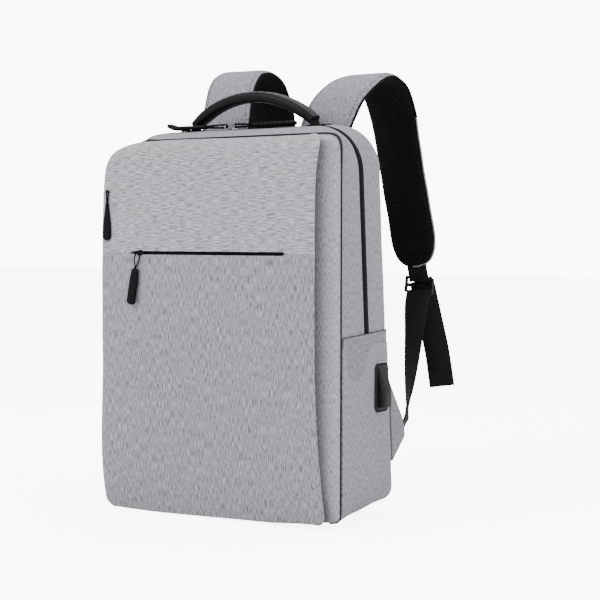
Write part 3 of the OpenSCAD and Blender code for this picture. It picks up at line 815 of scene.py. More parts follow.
def seam_piping():
    outline = panel_loop(HALF_W - 0.3, 0.4, SEAM_Z - 0.2)
    # a dark binding along the seam; along the top it is pushed out past the panels so that it also
    # stands in for the seam's shadow line, a painted shadow
    high = ease(372, 400, outline[:, 1])
    x, z = inset(outline, -0.9 * high)
    tube("seam_piping", xyz(x, SEAM_Y + 0.2 - 0.3 * high, z), 0.95, BINDING, closed=True,
         body=flap_fold, node="seam_binding")


def front_gusset():
    rear_out = ZIP_OUT - 5.1
    front = arch(HALF_W - 0.1, SEAM_Z - 0.1, R_SEAM, FOLD_Z)
    rear = back_arch(rear_out)
    t = np.linspace(0, 1, 15)[:, None, None]
    normal = unit(front[:, 2:] * (1 - t) + rear[:, 2:] * t)
    grid = xyz(front[:, 0], SEAM_Y + 0.6, front[:, 1]) * (1 - t) + on_back(rear, rear_out) * t
    grid[..., [0, 2]] += normal * (1.1 * np.sin(pi * t) - 0.5 * (1 - t) ** 6)
    grid = ripple(grid, 41, 0.35, 0.3, sides=False)
    shell("front_gusset_cloth", grid, 2.0, ARCH_CLOTH, flip=True, body=flap_fold,
          node="front_gusset_arch")


def rear_gusset():
    # distance in front of the back, and inset round its edge
    steps = [(ahead, 0.0) for ahead in np.linspace(42.9, R_REAR, 12)]
    steps += [(R_REAR * (1 - sin(a)), R_REAR * (1 - cos(a)))
              for a in np.linspace(0, pi / 2, 9)[1:]]
    rows = []
    for ahead, by in steps:
        puff = 0.9 * sin(pi * np.clip((43 - ahead) / 32.0, 0, 1))
        rows.append(on_back(back_arch(-ahead), -ahead, by - puff))
    grid = ripple(np.array(rows), 51, 0.35, 0.25, sides=False)
    shell("rear_gusset_cloth", grid, 2.0, ARCH_CLOTH, flip=True, body="root",
          node="rear_gusset_arch")


pocket_gusset()
seam_piping()
front_gusset()
rear_gusset()


# ---------------------------------------------------------------- lower shell and back
def lower_shell(name, outline, front, mat, seed, node=None):
    """Runs back from the front seam and turns round the back edge."""
    x, z = outline[:, :2].T
    edge = back_at(z) - R_REAR
    rows = [xyz(x, front + (edge - front) * t, z) for t in np.linspace(0, 1, 18)]
    for angle in np.linspace(0, pi / 2, 8)[1:]:
        turned_x, turned_z = inset(outline, R_REAR * (1 - cos(angle)))
        rows.append(xyz(turned_x, edge + R_REAR * sin(angle), turned_z))
    grid = ripple(np.array(rows), seed, 0.3, 0.2)
    shell(name, grid, 2.0, mat, body="root", node=node)


def side_outline(s):
    rows = [(s * HALF_W, z, s, 0) for z in np.linspace(FOLD_Z - 0.3, R_FOOT, 40)]
    rows += [(s * (HALF_W - R_FOOT + R_FOOT * cos(t)), R_FOOT + 0.3 - R_FOOT * sin(t),
              s * cos(t), -sin(t)) for t in np.linspace(0, pi / 2, 12)[1:]]
    return np.array(rows)


base_outline = np.array([(x, 0.3, 0, -1)
                         for x in np.linspace(-HALF_W + R_FOOT, HALF_W - R_FOOT, 60)])
lower_shell("side_lower_left", side_outline(-1), SEAM_Y + 0.4, ARCH_CLOTH, 61)
lower_shell("side_lower_right", side_outline(1), SEAM_Y + 0.4, ARCH_CLOTH, 62, "side_panels")
lower_shell("base_cloth", base_outline, SEAM_Y - 24, SIDE_CLOTH, 63, "base_panel")

ACROSS = np.linspace(-1, 1, 61)
up = np.linspace(R_REAR + 1.5, BACK_TOP - R_REAR + 1.0, 70)[:, None]
half = half_width(up, HALF_W - R_REAR + 1.2, R_REAR + 1.0, BACK_TOP - R_REAR + 1.2,
                  R_BACK - R_REAR, 10)
back_grid = ripple(lean(ACROSS * half, -0.3, up), 71, 0.35, 0.2, fade=4)
shell("back_cloth", back_grid, 2.4, SIDE_CLOTH, flip=True, body="root", node="back_panel")


# ---------------------------------------------------------------- back pads, inflated as cloth
PAD_VOXEL = 5.0
PAD_MAX_MOVE = 6.0
PAD_FRAMES = 18
PAD_PINNED = 1.6    # points nearer the back than this stay put


def read_points(mesh):
    flat = np.zeros(len(mesh.vertices) * 3)
    mesh.vertices.foreach_get("co", flat)
    return flat.reshape(-1, 3)


def settle(ob):
    """Remesh, inflate with the cloth solver, cap how far any vertex moved, apply."""
    remesh = ob.modifiers.new("remesh", "REMESH")
    remesh.mode = "VOXEL"
    remesh.voxel_size = PAD_VOXEL * 0.001
    remesh.use_smooth_shade = True
    apply_mods(ob)
    rest = read_points(ob.data)
    y, z = rest[:, 1] * 1000, rest[:, 2] * 1000
    pinned = ((y - BACK_Y) * COS_LEAN + z * SIN_LEAN) < PAD_PINNED
    group = ob.vertex_groups.new(name="pin")
    group.add(np.where(pinned)[0].tolist(), 1.0, "REPLACE")
    cloth = ob.modifiers.new("cloth", "CLOTH")
    solver = cloth.settings
    solver.quality = 6
    solver.mass = 0.3
    solver.tension_stiffness = solver.compression_stiffness = 20
    solver.bending_stiffness = 1.5
    solver.use_pressure = True
    solver.uniform_pressure_force = 4.0
    solver.effector_weights.gravity = 0
    solver.shrink_min = -0.04
    solver.vertex_group_mass = "pin"
    cloth.collision_settings.use_collision = False
    scene = bpy.context.scene
    for step in range(1, PAD_FRAMES + 1):
        scene.frame_set(step)
    graph = bpy.context.evaluated_depsgraph_get()
    moved = read_points(ob.evaluated_get(graph).data) - rest
    ob.modifiers.clear()
    distance = np.linalg.norm(moved, axis=1)[:, None] + 1e-12
    moved = moved * np.minimum(1, PAD_MAX_MOVE * 0.001 / distance)
    moved[~np.isfinite(moved)] = 0
    ob.data.vertices.foreach_set("co", (rest + moved).ravel())
    scene.frame_set(1)
    ob.vertex_groups.clear()
    subdivide = ob.modifiers.new("subdivide", "SUBSURF")
    subdivide.levels = subdivide.render_levels = 1
    apply_mods(ob)
    shade(ob.data)


def pad(name, x, up, width, height, node=None):
    across, along = rounded(width, height, 12).T
    layers = [lean(x + across * k, out, up + along * k)
              for out, k in ((0.1, 1.0), (5.0, 1.0), (8.2, 0.93))]
    ob = make(name, layers, stacked(3, len(across)), PAD_MESH)
    settle(ob)
    tie(ob, "root", node)
    tube(name + "_piping", lean(x + across, 1.4, up + along), 1.3, BINDING, sides=8,
         closed=True, body="root")


pad("back_pad_left", -68, 250, 100, 220, "back_pads")
pad("back_pad_right", 68, 250, 100, 220)
pad("lumbar_pad", 0, 78, 236, 96)

yoke_grid = lean(np.linspace(-127, 127, 61)[None], 4.8, np.linspace(374.5, 403.5, 9)[:, None])
yoke_grid = ripple(yoke_grid, 81, 0.25, 0.15, fade=2)
yoke = bevel(shell("strap_yoke_cloth", yoke_grid, 4.4, SIDE_CLOTH, flip=True), 1.3)
tie(yoke, "root", "strap_yoke")
for k, up in enumerate((377.5, 400.5)):
    stitches("yoke_stitch_%d" % k, lean(np.linspace(-124, 124, 80), 4.9, up), (0, 1, 0),
             body="root")


# ---------------------------------------------------------------- side pockets
def side_pocket(s, name, bulge, seed):
    """bulge is how far the mouth stands out; t beyond 1 goes round the back edge."""
    t = np.concatenate([np.linspace(0, 1, 26), 1 + np.linspace(0.12, 1, 5)])[None, :]
    z = np.concatenate([[25.0, 26.5], np.linspace(30, FOLD_Z - 10, 34),
                        np.linspace(FOLD_Z - 8, FOLD_Z + 3, 6)])[:, None]
    edge = back_at(z) - R_REAR
    angle = np.clip(t - 1, 0, 1) * 1.05
    along = np.clip(t, 0, 1)
    front = SEAM_Y + 2.2
    y = np.where(t <= 1, front + (edge - front) * t, edge + R_REAR * np.sin(angle))
    by = R_REAR * (1 - np.cos(angle))
    mouth = ease(FOLD_Z - 90, FOLD_Z, z) * bulge * np.sin(np.pi * along) ** 0.7
    off = np.where(z < 26, 0.5, 1.5) + mouth
    rise = (5.5 + 4.9 * along) * ease(FOLD_Z - 60, FOLD_Z + 3, z)
    grid = ripple(xyz(s * (HALF_W - by + off), y, z + rise), seed, 0.7, 0.35)
    grid[..., 0] = s * np.maximum(s * grid[..., 0], HALF_W + 0.9 - by)
    shell("side_pocket_cloth_" + name, grid, 1.2, SIDE_CLOTH, flip=s > 0, body="root",
          node="side_pocket_" + name)
    tube("pocket_hem_binding_" + name, grid[-1] + np.array([0, 0, 0.2]), 0.5, BINDING,
         sides=8, body="root")


side_pocket(-1, "left", 3.6, 91)
side_pocket(1, "right", 0.5, 95)

# ---------------------------------------------------------------- zips
TOOTH_PITCH = 1.7
TOOTH_LENGTH = 0.95
# corners along the zip, across it and outward, in half sizes; the outer face is smaller
TOOTH_CORNERS = ((-1, -1, -1), (1, -1, -1), (1, 1, -1), (-1, 1, -1),
                 (-0.75, -0.8, 1), (0.75, -0.8, 1), (0.75, 0.8, 1), (-0.75, 0.8, 1))
TOOTH_FACES = ((0, 3, 2, 1), (4, 5, 6, 7), (0, 1, 5, 4), (1, 2, 6, 5), (2, 3, 7, 6),
               (3, 0, 4, 7))


def teeth(name, path, up, side, width, height, phase, **ties):
    """Coil turns as short blocks set square to the zip; phase is in pitches."""
    run = arclen(path)
    at = np.arange(1.0 + phase * TOOTH_PITCH, run[-1] - 1, TOOTH_PITCH)
    centre = sample(path, run, at)
    up = unit(sample(np.broadcast_to(up, path.shape), run, at))
    side = unit(sample(np.broadcast_to(side, path.shape), run, at))
    along = np.cross(up, side)
    corners = [centre + a * TOOTH_LENGTH / 2 * along + b * width / 2 * side + c * height / 2 * up
               for a, b, c in TOOTH_CORNERS]
    faces = [tuple(8 * i + v for v in face) for i in range(len(at)) for face in TOOTH_FACES]
    make(name, np.stack(corners, 1), faces, COIL, np.zeros((8 * len(at), 2)), sharp=30, **ties)


def main_zip(name, s, body, phase):
    start, end = sorted((ZIP_OUT + s * 0.5, ZIP_OUT + s * 5.6))
    rise = 4.2
    grid = np.array([on_back(back_arch(out, rise), out, 0.1) for out in np.linspace(start, end, 6)])
    shell("main_zip_tape_cloth_" + name, grid, 0.9, TAPE, flip=True, body=body,
          node="main_zip_tape_" + name)
    out = ZIP_OUT + s * 0.95
    outline = back_arch(out, rise)
    normal = lean(outline[:, 2], 0, outline[:, 3]) - lean(0, 0, 0)
    teeth("main_zip_teeth_" + name, on_back(outline, out, 0.1), normal, ALONG_OUT,
          width=2.2, height=1.3, phase=phase, body=body, node="main_zip_coil_" + name)


main_zip("rear", 1, "root", 0.0)
main_zip("front", -1, "front_flap", 0.5)

zip_x = np.linspace(ZIP_X0 - 3, ZIP_X1 + 3, 90)
for s, name in ((1, "upper"), (-1, "lower")):
    grid = xyz(zip_x[None], ZIP_FACE + 3.9, ZIP_Z + s * np.linspace(0.3, 8.5, 6)[:, None])
    shell("front_zip_tape_" + name, grid, 0.8, TAPE, flip=s > 0, body="front_flap",
          node="front_zip_tape" if s > 0 else None)
    teeth("front_zip_teeth_" + name, xyz(zip_x[2:-2], ZIP_FACE + 2.7, ZIP_Z + s * 0.75),
          (0, -1.0, 0), (0, 0, 1.0), width=1.9, height=1.6, phase=0.5 * (s > 0),
          body="front_flap", node="front_zip_coil" if s > 0 else None)

for name, start, end in (("left", -HALF_W + 0.8, ZIP_X0 - 1), ("right", ZIP_X1 + 1, HALF_W - 1.5)):
    x = np.linspace(start, end, 24)[None]
    grid = xyz(x, margin_y(x, ZIP_Z) + 2.4, ZIP_Z + np.linspace(-4, 4, 5)[:, None])
    shell("cross_seam_tape_" + name, grid, 0.9, LOWER_CLOTH, body="front_flap")

# covered zip up the left margin of the front panel
SIDE_ZIP_X, SIDE_SLIDER_Z = -140.0, 357.0
side_zip_z = np.linspace(293, 367, 60)[None]
across = np.linspace(-1.5, 1.5, 4)[:, None]
grid = xyz(SIDE_ZIP_X + across, margin_y(SIDE_ZIP_X + across, side_zip_z) - 0.45, side_zip_z)
shell("side_zip_tape_cloth", grid, 0.8, TAPE, flip=True, body="front_flap",
      node="side_zip_tape")
across = np.linspace(-1.0, 5.2, 9)[:, None]
proud = 0.95 * (1 - ((across - 2.1) / 3.1) ** 2)
welt_y = margin_y(SIDE_ZIP_X + across, side_zip_z) - 0.35 - proud
shell("side_zip_welt", xyz(SIDE_ZIP_X + across, welt_y, side_zip_z), 0.7, UPPER_CLOTH,
      flip=True, body="front_flap")

# ---------------------------------------------------------------- sliders and pulls
# Both are built in a slider frame: x along the zip, y across it, z outward; the pull hangs
# towards -x from the slider's bar. The functions below set that frame on the bag.
BAR_HEIGHT = 5.0
PULL_SWING = radians(8.5)
SIDE_SLIDER_Y = float(front_y(SIDE_SLIDER_Z)) - 1.6
SIDE_TILT = atan((float(front_y(SIDE_SLIDER_Z)) - float(front_y(SIDE_SLIDER_Z - 60))) / 60.0)


def at_main(s):
    def place(points):
        x, y, z = points.T
        return lean(-26 + s * 6.4 - s * x, ZIP_OUT + y, BACK_TOP - 0.3 + z)
    return place


def at_front(points):
    x, y, z = points.T
    return xyz(ZIP_X0 + 10 + x, ZIP_FACE - 0.4 - z, ZIP_Z + y)


def at_side(points):
    x, y, z = points.T
    c, n = cos(SIDE_TILT), sin(SIDE_TILT)
    return xyz(SIDE_ZIP_X + 5.0 - y, SIDE_SLIDER_Y + 2.0 - z * c + x * n,
               SIDE_SLIDER_Z + z * n + x * c)


def hung_front(points):
    """The front pull runs down the panel, swung a little to the left."""
    x, y, z = points.T
    c, n = cos(PULL_SWING), sin(PULL_SWING)
    x, y = x * c + y * n, y * c - x * n
    return at_front(xyz(-y, x, z + BAR_HEIGHT + 0.035 * np.maximum(0, -x)))


def on_bar(place):
    return lambda points: place(points + np.array([0, 0, BAR_HEIGHT]))


def slider(kind, side, place, mat, turned=False):
    """Plate, bridge and bar; turned sets the bridge along the zip."""
    angle = full_turn(40)
    x = 5.6 * np.cos(angle)
    y = (2.2 + 1.5 * ease(-4, 3, x)) * signed_power(np.sin(angle), 0.7)
    layers = ((0.2, 0.93), (0.6, 1.0), (1.7, 1.0), (2.2, 0.9), (2.35, 0.7))    # z, size
    plate = np.concatenate([xyz(x * k, y * k, z) for z, k in layers])
    t = np.linspace(0, pi, 17)
    bridge = xyz(0, -2.3 * np.cos(t), 1.9 + 4.3 * np.sin(t) ** 0.75)
    bar = xyz(0, np.linspace(-2.3, 2.3, 9), BAR_HEIGHT)
    if turned:
        bridge, bar = bridge[:, [1, 0, 2]], bar[:, [1, 0, 2]]
    parts = [make("plate", place(plate), capped(5, 40), mat, sharp=35),
             tube("bridge", place(bridge), 0.85, mat), tube("bar", place(bar), 0.85, mat)]
    ob = join(parts, kind + "_metal" + side)
    shade(ob.data)
    tie(ob, kind + side, kind + side)


def pull(kind, side, place, length, belly=0.0, tip=44.5, fat=1.0, radius=0.8, taper=0.0):
    """A cord loop round the bar, ending in a ribbed rubber tip."""
    name = kind + side
    # cord: along the back, round the bar and out along the front
    t = np.linspace(-pi / 2, pi / 2, 9)
    x = np.linspace(0, -length - 2, 16)
    pinch = 1.75 - 1.0 * ease(0, length * 0.8, -x)
    sway = belly * np.sin(pi * np.clip(-x / (length - 2.0), 0, 1))
    path = np.concatenate([xyz(x, -sway, -pinch)[::-1][:-1],
                           xyz(1.75 * np.cos(t), 0, 1.75 * np.sin(t)),
                           xyz(x, sway, pinch)[1:]])
    tube(name + "_cord_loop", place(path), radius, CORD, sides=8, body=name,
         node=kind + "_cord" + side)
    # tip: t runs from the cord to the free end
    t = np.linspace(0, 1, 46)
    far_end = np.sqrt(np.maximum(0, 1 - np.clip((t - 0.9) / 0.1, 0, 1) ** 2))
    near_end = np.sqrt(np.maximum(0, 1 - np.clip((0.06 - t) / 0.06, 0, 1) ** 2))
    ends = far_end * near_end
    width = 4.6 - 2.8 * taper + (1.4 + 2.8 * taper) * ease(0.0, 0.35 + 0.35 * taper, t)
    width = np.maximum(0.4, width * fat * (0.35 + 0.65 * ends))
    rib = 0.26 * (np.cos(t * 2 * np.pi * 9) > 0.1) * (t > 0.18) * (t < 0.7)
    thick = (2.1 + 0.35 * ease(0, 0.6, t)) * fat * (0.3 + 0.7 * ends) - rib
    thick = np.maximum(0.4, thick)
    angle = full_turn(18)
    points = xyz((-length - 42 + tip - t * tip)[:, None],
                 width[:, None] * signed_power(np.cos(angle), 0.75),
                 thick[:, None] * signed_power(np.sin(angle), 0.75))
    make(name + "_rubber_tip", place(points.reshape(-1, 3)), capped(46, 18), RUBBER, sharp=40,
         body=name, node=kind + "_tip" + side)


for s, name in SIDES:
    slider("main_slider", "_" + name, at_main(s), METAL)
    pull("main_pull", "_" + name, on_bar(at_main(s)), 43, tip=58.0, fat=1.15, radius=1.15)
slider("front_slider", "", at_front, COIL, turned=True)
pull("front_pull", "", hung_front, 18, belly=2.5, tip=42.0)
slider("side_slider", "", at_side, COIL)
pull("side_pull", "", on_bar(at_side), 14, taper=1.0, fat=0.95)

# ---------------------------------------------------------------- handle
SPAN, RISE, HANDLE_X, HANDLE_OUT = 176.0, 33.0, -5.0, -30.0
HANDLE_R = ((SPAN / 2) ** 2 + RISE ** 2) / (2 * RISE)
END_ANGLE = acos((HANDLE_R - RISE + 3.2) / HANDLE_R)


def handle_grip():
    angle = np.linspace(-END_ANGLE, END_ANGLE, 91)
    centre = BACK_TOP + 4 - (HANDLE_R - RISE)
    path = lean(HANDLE_X + HANDLE_R * np.sin(angle), HANDLE_OUT,
                centre + HANDLE_R * np.cos(angle))
    turn = full_turn(28)
    profile = np.stack([10.2 * signed_power(np.cos(turn), 0.62),
                        6.5 * signed_power(np.sin(turn), 0.62)], -1)
    u = np.abs(np.linspace(-1, 1, 91))
    sweep("handle_rubber_grip", path, ALONG_OUT, profile, GRIP_RUBBER,
          width=1 - 0.16 * ease(0.78, 1.0, u),
          thick=1 - 0.12 * ease(0.8, 1, u) + 0.03 * np.cos(u * 60) * (u < 0.72),
          sharp=60, body="handle", node="handle_grip")


def handle_end(s, name):
    """Sewn patch, its stitching and the tab up to the grip."""
    x = HANDLE_X + s * (SPAN / 2 + 2)
    block("handle_patch_" + name, (x - 12.8, HANDLE_OUT - 8, BACK_TOP + 0.1),
          (x + 12.8, HANDLE_OUT + 8, BACK_TOP + 1.7), WEBBING, 0.6, 2, place=lean_points,
          body="root", node="handle_anchors" if s > 0 else None)
    corners = np.array([(x + a * 11, HANDLE_OUT + b * 6.4)
                        for a, b in ((-1, -1), (1, -1), (1, 1), (-1, 1), (-1, -1))])
    seam = np.concatenate([np.linspace(corners[i], corners[i + 1], 16)[:-1] for i in range(4)])
    stitches("handle_patch_stitch_" + name, lean(seam[:, 0], seam[:, 1], BACK_TOP + 1.7),
             (0, -SIN_LEAN, COS_LEAN), DARK_THREAD, radius=0.28, body="root")
    end = HANDLE_X + s * HANDLE_R * sin(END_ANGLE)
    path = curve([(end + s * 1.5, HANDLE_OUT, BACK_TOP + 1.2), (end, HANDLE_OUT, BACK_TOP + 4.5),
                  (end - s * 3, HANDLE_OUT, BACK_TOP + 9)], 6)
    tab = sweep("handle_tab_" + name, lean_points(path), ALONG_OUT,
                [(-8, -1.2), (8, -1.2), (8, 1.2), (-8, 1.2)], WEBBING)
    tuple(lean(x, HANDLE_OUT, BACK_TOP + 1.2) * 0.001)
    tuple(lean(x, HANDLE_OUT, BACK_TOP + 7) * 0.001)
    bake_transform(tab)


handle_grip()
for s, name in SIDES:
    handle_end(s, name)

# ---------------------------------------------------------------- shoulder straps
STRAP_HALF = 34.0
STRAP_THICK = 5.4    # half thickness
# thin band section, (across, thickness), for the webbing and its tail
BAND = [(-16, -0.5), (-15.5, -0.85), (15.5, -0.85), (16, -0.5),
        (16, 0.5), (15.5, 0.85), (-15.5, 0.85), (-16, 0.5)]


def strap_points(s):
    """Strap centre line for x > 0; the left strap loops higher and starts further out."""
    k, h = (1.0, 8.0) if s > 0 else (0.35, 22.0)
    return [(83 - 17 * k, 65.0, 386), (83 - 17 * k, 66, 407),
            (83 - 16 * k, 69, 432 + .25 * h), (85 - 8 * k, 83, 461 + .7 * h),
            (88, 108, 480 + h), (89, 136, 484 + h), (91, 161, 472 + h),
            (92, 179, 447 + .7 * h), (94, 189, 413 + .25 * h), (98, 197, 369),
            (104, 202, 325), (109, 204, 290), (110.6, 204, 270.5)]


def lens(u, upper, lower):
    """Closed profile out along `upper` and back along `lower`."""
    return np.concatenate([np.stack([u, upper], -1), np.stack([u, lower], -1)[::-1][1:-1]])


def strap(s, name, mirror):
    def bend(ob):
        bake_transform(ob)

    path = curve(strap_points(s), 8)
    count = len(path)
    index = np.arange(count)
    twist = np.radians(11 * np.clip(((index - 8) / 2.0 - 12) / 16.0, 0, 1))
    side = xyz(np.cos(twist), -np.sin(twist), 0) * mirror
    # rounded lower end
    left = np.linalg.norm(path - path[-1], axis=1)
    r = STRAP_HALF
    end_width = 2 * np.sqrt(np.maximum(0, r * r - (r - left) ** 2)) * 0.72 + 2 * r * 0.28
    width = np.where(left >= r, 2 * r, end_width) / 2 * (1 + 0.006 * np.sin(index * 0.7))
    thick = 0.45 + 0.55 * ease(0, 12, index)
    thick = thick * (0.55 + 0.45 * ease(0, 5, count - 1 - index))
    thick = thick * (1 + 0.03 * np.sin(index * 0.53 + s))
    path = path * mirror
    tangent, across, normal = side_frame(path, side)
    normal = normal * s

    # cover, mesh and foam core, dished along a sewn groove near each edge
    u = np.linspace(-1, 1, 41)
    dome = (1 - np.abs(u) ** 7) ** 0.5
    solid = dome > 0.01
    groove = 0.75 * np.exp(-((np.abs(u) - 0.86) / 0.035) ** 2)
    top = STRAP_THICK * dome - groove
    under = STRAP_THICK * dome - 0.5 * groove
    cover = lens(u, s * top, s * (np.maximum(top - 1.4, 0.05) * solid))
    mesh = lens(u, -s * under, -s * (np.maximum(under - 1.5, 0.05) * solid))
    core = lens(0.93 * u, s * 3.7 * dome, -s * 3.6 * dome)
    for tag, profile, mat, node in (("cover_cloth", cover, STRAP_CLOTH, "strap_cover_"),
                                    ("mesh_cloth", mesh, STRAP_MESH, "strap_mesh_"),
                                    ("foam_core", core, FOAM, "strap_foam_")):
        points = carry(path, side, profile, width, thick)
        jitter = 0.22 * waves(points, 60, 7) + 0.1 * waves(points, 18, 8)
        points = points + side_frame(path, side)[2][:, None] * jitter[..., None]
        uv = np.stack(np.broadcast_arrays(width[:, None] * profile[None, :, 0],
                                          arclen(path)[:, None]), -1)
        make("strap_%s_%s" % (tag, name), points, capped(count, len(profile)), mat, uv,
             sharp=70, body=bend, node=node + name)

    # edges: pale piping round the lower end, mesh above it
    a = path + across * (width + 0.2)[:, None]
    b = path - across * (width + 0.2)[:, None]
    edge = np.concatenate([a[9:], (a[-1] * .75 + b[-1] * .25)[None] + tangent[-1] * 1.5,
                           (a[-1] * .25 + b[-1] * .75)[None] + tangent[-1] * 1.5, b[9:][::-1]])
    run = len(a[9:])
    split = int(run * 0.55)
    tube("strap_piping_" + name, edge[split:run + 2], 1.1, PIPING, body=bend)
    tube("strap_edge_outer_" + name, edge[:split + 1], 1.5, STRAP_MESH, body=bend)
    tube("strap_edge_inner_" + name, edge[run + 1:], 1.5, STRAP_MESH, body=bend)
    for tag, sign in (("a", 1), ("b", -1)):
        row = path + sign * across * (width * 0.86)[:, None]
        row = row + normal * (thick * (STRAP_THICK * 0.80 - 0.7))[:, None]
        stitches("strap_topstitch_%s_%s" % (tag, name), row[14:-5], normal[14:-5],
                 length=2.8, gap=1.7, radius=0.3, lift=0.25, body=bend)

    # loop from the pad's end to the buckle
    loop = curve([(110.6, 203.6, 281), (111.4, 205.2, 268), (112.6, 207.4, 256),
                  (113, 208.2, 250.4)], 6)
    sweep("strap_end_loop_" + name, loop * mirror, mirror * (1.0, -0.15, 0),
          [(-14, -1.5), (14, -1.5), (14, 1.5), (-14, 1.5)], WEBBING, body="strap_" + name)


def strap_webbing(name, mirror):
    """Band from the wing tab up to the buckle, turning as it goes."""
    path = curve([(146.6, 96, 66), (146.9, 106, 78), (147.2, 114, 88), (146.8, 121, 98),
                  (144, 130, 115), (136, 150, 152), (125, 177, 200), (117, 196, 227),
                  (113.8, 206.6, 241)], 8)
    index = np.arange(len(path))
    turn = np.clip((index - 24) / 32.0, 0, 1)
    angle = np.radians(180 - 70 * (1 - turn))
    side = xyz(np.cos(angle), np.sin(angle), 0)
    band = sweep("strap_webbing_cloth_" + name, path * mirror, side * mirror, BAND, WEBBING,
                 width=0.55 + 0.45 * ease(6, 26, index))
    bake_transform(band)
    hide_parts("strap_webbing_" + name)


def strap_tail(name, mirror):
    """Loose end below the buckle, doubled over and sewn at its tip."""
    body = "tail_" + name
    path = curve([(113.2, 211.0, 252), (115, 214, 245), (118, 219, 222), (124, 222, 190),
                  (130, 224, 160), (136, 226, 121)], 8)
    path[:, 1] += 0.8 * np.sin(path[:, 2] * 0.045)
    count = len(path)
    across = np.array([1, .12, .1])
    sweep("strap_tail_cloth_" + name, path * mirror, across * mirror, BAND, WEBBING,
          thick=1 + 0.95 * ease(0, 3, np.arange(count) - (count - 8)), body=body,
          node="strap_tail_" + name)
    for back in (8, 6):
        row = path[-back] + np.linspace(-13.5, 13.5, 14)[:, None] * across
        row = row + np.array([0, 1.7, 0])
        stitches("tail_end_stitch_%d_%s" % (back, name), row * mirror, (0, 1, 0), radius=0.3,
                 body=body)


# ladder-lock bars in the buckle's frame: low corner, high corner
BUCKLE_BARS = (((-19.4, -2.3, -9.6), (-16.6, 2.3, 10.6)), ((16.6, -2.3, -9.6), (19.4, 2.3, 10.6)),
               ((-19.4, -2.0, -9.6), (19.4, 2.3, -6.6)), ((-19.4, -2.3, -2.2), (19.4, 1.6, 1.6)),
               ((-19.4, -2.3, 7.4), (19.4, 2.3, 10.6)))


def buckle(s, name):
    c, n = cos(radians(5)), sin(radians(5))

    def place(points):
        x, y, z = points.T
        return xyz(s * 113 + x * c + s * z * n, 208 + y, 245 - s * x * n + z * c)

    parts = [block("bar", lo, hi, PLASTIC, 1.0, place=place) for lo, hi in BUCKLE_BARS]
    rib = xyz(np.linspace(-16, 16, 9), 2.2, -9.0)
    parts.append(tube("rib", place(rib), 1.0, PLASTIC, sides=8))
    ob = join(parts, "ladder_lock_" + name)
    shade(ob.data, 50)
    tie(ob, "buckle_" + name, "strap_buckle_" + name)


def wing_tab(s, name, mirror):
    """Sewn tab from the lower back edge, narrowing to the webbing."""
    a = np.linspace(0, 1, 15)[None, :]
    b = np.linspace(0, 1, 13)[:, None]
    root_z = 45 + 93 * a
    root_y = back_at(root_z) - 3.5
    tip_y, tip_z = 108 - 2 * a, 72 + 16 * a
    bulge = 0.9 * np.sin(pi * b) * np.sin(pi * a)
    grid = xyz(148.3 + bulge - 0.5 * b, root_y + (tip_y - root_y) * b,
               root_z + (tip_z - root_z) * b) * mirror
    grid = ripple(grid, 120 + s, 0.35, 0.2, fade=2)
    tab = bevel(shell("wing_tab_cloth_" + name, grid, 3.6, SIDE_CLOTH, flip=s > 0), 0.9)
    tie(tab, "root", "wing_tabs" if s > 0 else None)
    for k, row in enumerate((grid[:, 1], grid[:, -2], grid[-2, :])):
        stitches("wing_stitch_%d_%s" % (k, name), row + np.array([0.4 * s, 0, 0]), (s, 0, 0),
                 radius=0.28, body="root")
    fold = grid[5] * 0.35 + grid[6] * 0.65 + np.array([0.7 * s, 0, 0])
    tube("wing_fold_" + name, fold, 0.7, SIDE_CLOTH, sides=8, body="root")


for s, name in SIDES:
    mirror = np.array([s, 1, 1])
    strap(s, name, mirror)
    strap_webbing(name, mirror)
    strap_tail(name, mirror)
    buckle(s, name)
    wing_tab(s, name, mirror)


# ---------------------------------------------------------------- charging port, right side
def charging_port():
    port_y, port_z = 52.0, 135.0
    across, along = rounded(24, 52, 6, 5).T
    layers = [xyz(HALF_W + out, port_y + across, port_z + along) for out in (2.4, 4.1)]
    plate = make("plate", layers, stacked(2, len(across)), PORT_PLASTIC, sharp=30)
    bevel(plate, 0.6, 3, 30)
    # hood, standing out most at its foot
    z = np.linspace(-22, 22, 34)
    proud = 4.1 + 6.6 * (1 - ease(-10, 22, z)) ** 0.8
    angle = np.linspace(-pi / 2, pi / 2, 25)
    grid = xyz(HALF_W + 4.0 + (proud[:, None] - 4.0) * np.abs(np.cos(angle)) ** 0.38,
               port_y + 8.6 * signed_power(np.sin(angle), 0.38)
               * (1 - 0.10 * ease(0, 22, z))[:, None], (port_z + z)[:, None])
    hood = shell("hood", grid, 1.5, PORT_PLASTIC, sharp=60)
    ridge = tube("ridge", xyz(HALF_W + proud[2:-2] + 0.1, port_y, port_z + z[2:-2]), 0.7,
                 PORT_PLASTIC, sides=8)
    inner = block("inner", (HALF_W - 4, port_y - 8.4, port_z - 22),
                  (HALF_W + 2.6, port_y + 8.4, port_z + 22), PORT_PLASTIC, 1.0, 2)
    housing = join([plate, hood, ridge, inner], "port_housing")
    shade(housing.data, 45)
    tie(housing, "root", "usb_port_body")
    across, along = rounded(26.4, 54.4, 7, 6).T
    tube("port_welt", xyz(HALF_W + 2.9, port_y + across, port_z + along), 1.2, BINDING,
         sides=8, closed=True, body="root")
    for k, dz in enumerate((28.6, -28.6)):
        block("port_tab_%d" % k, (HALF_W + 1.6, port_y - 8.5, port_z + dz - 1.3),
              (HALF_W + 3.6, port_y + 8.5, port_z + dz + 1.3), PIPING, 0.6, 2, body="root")


charging_port()


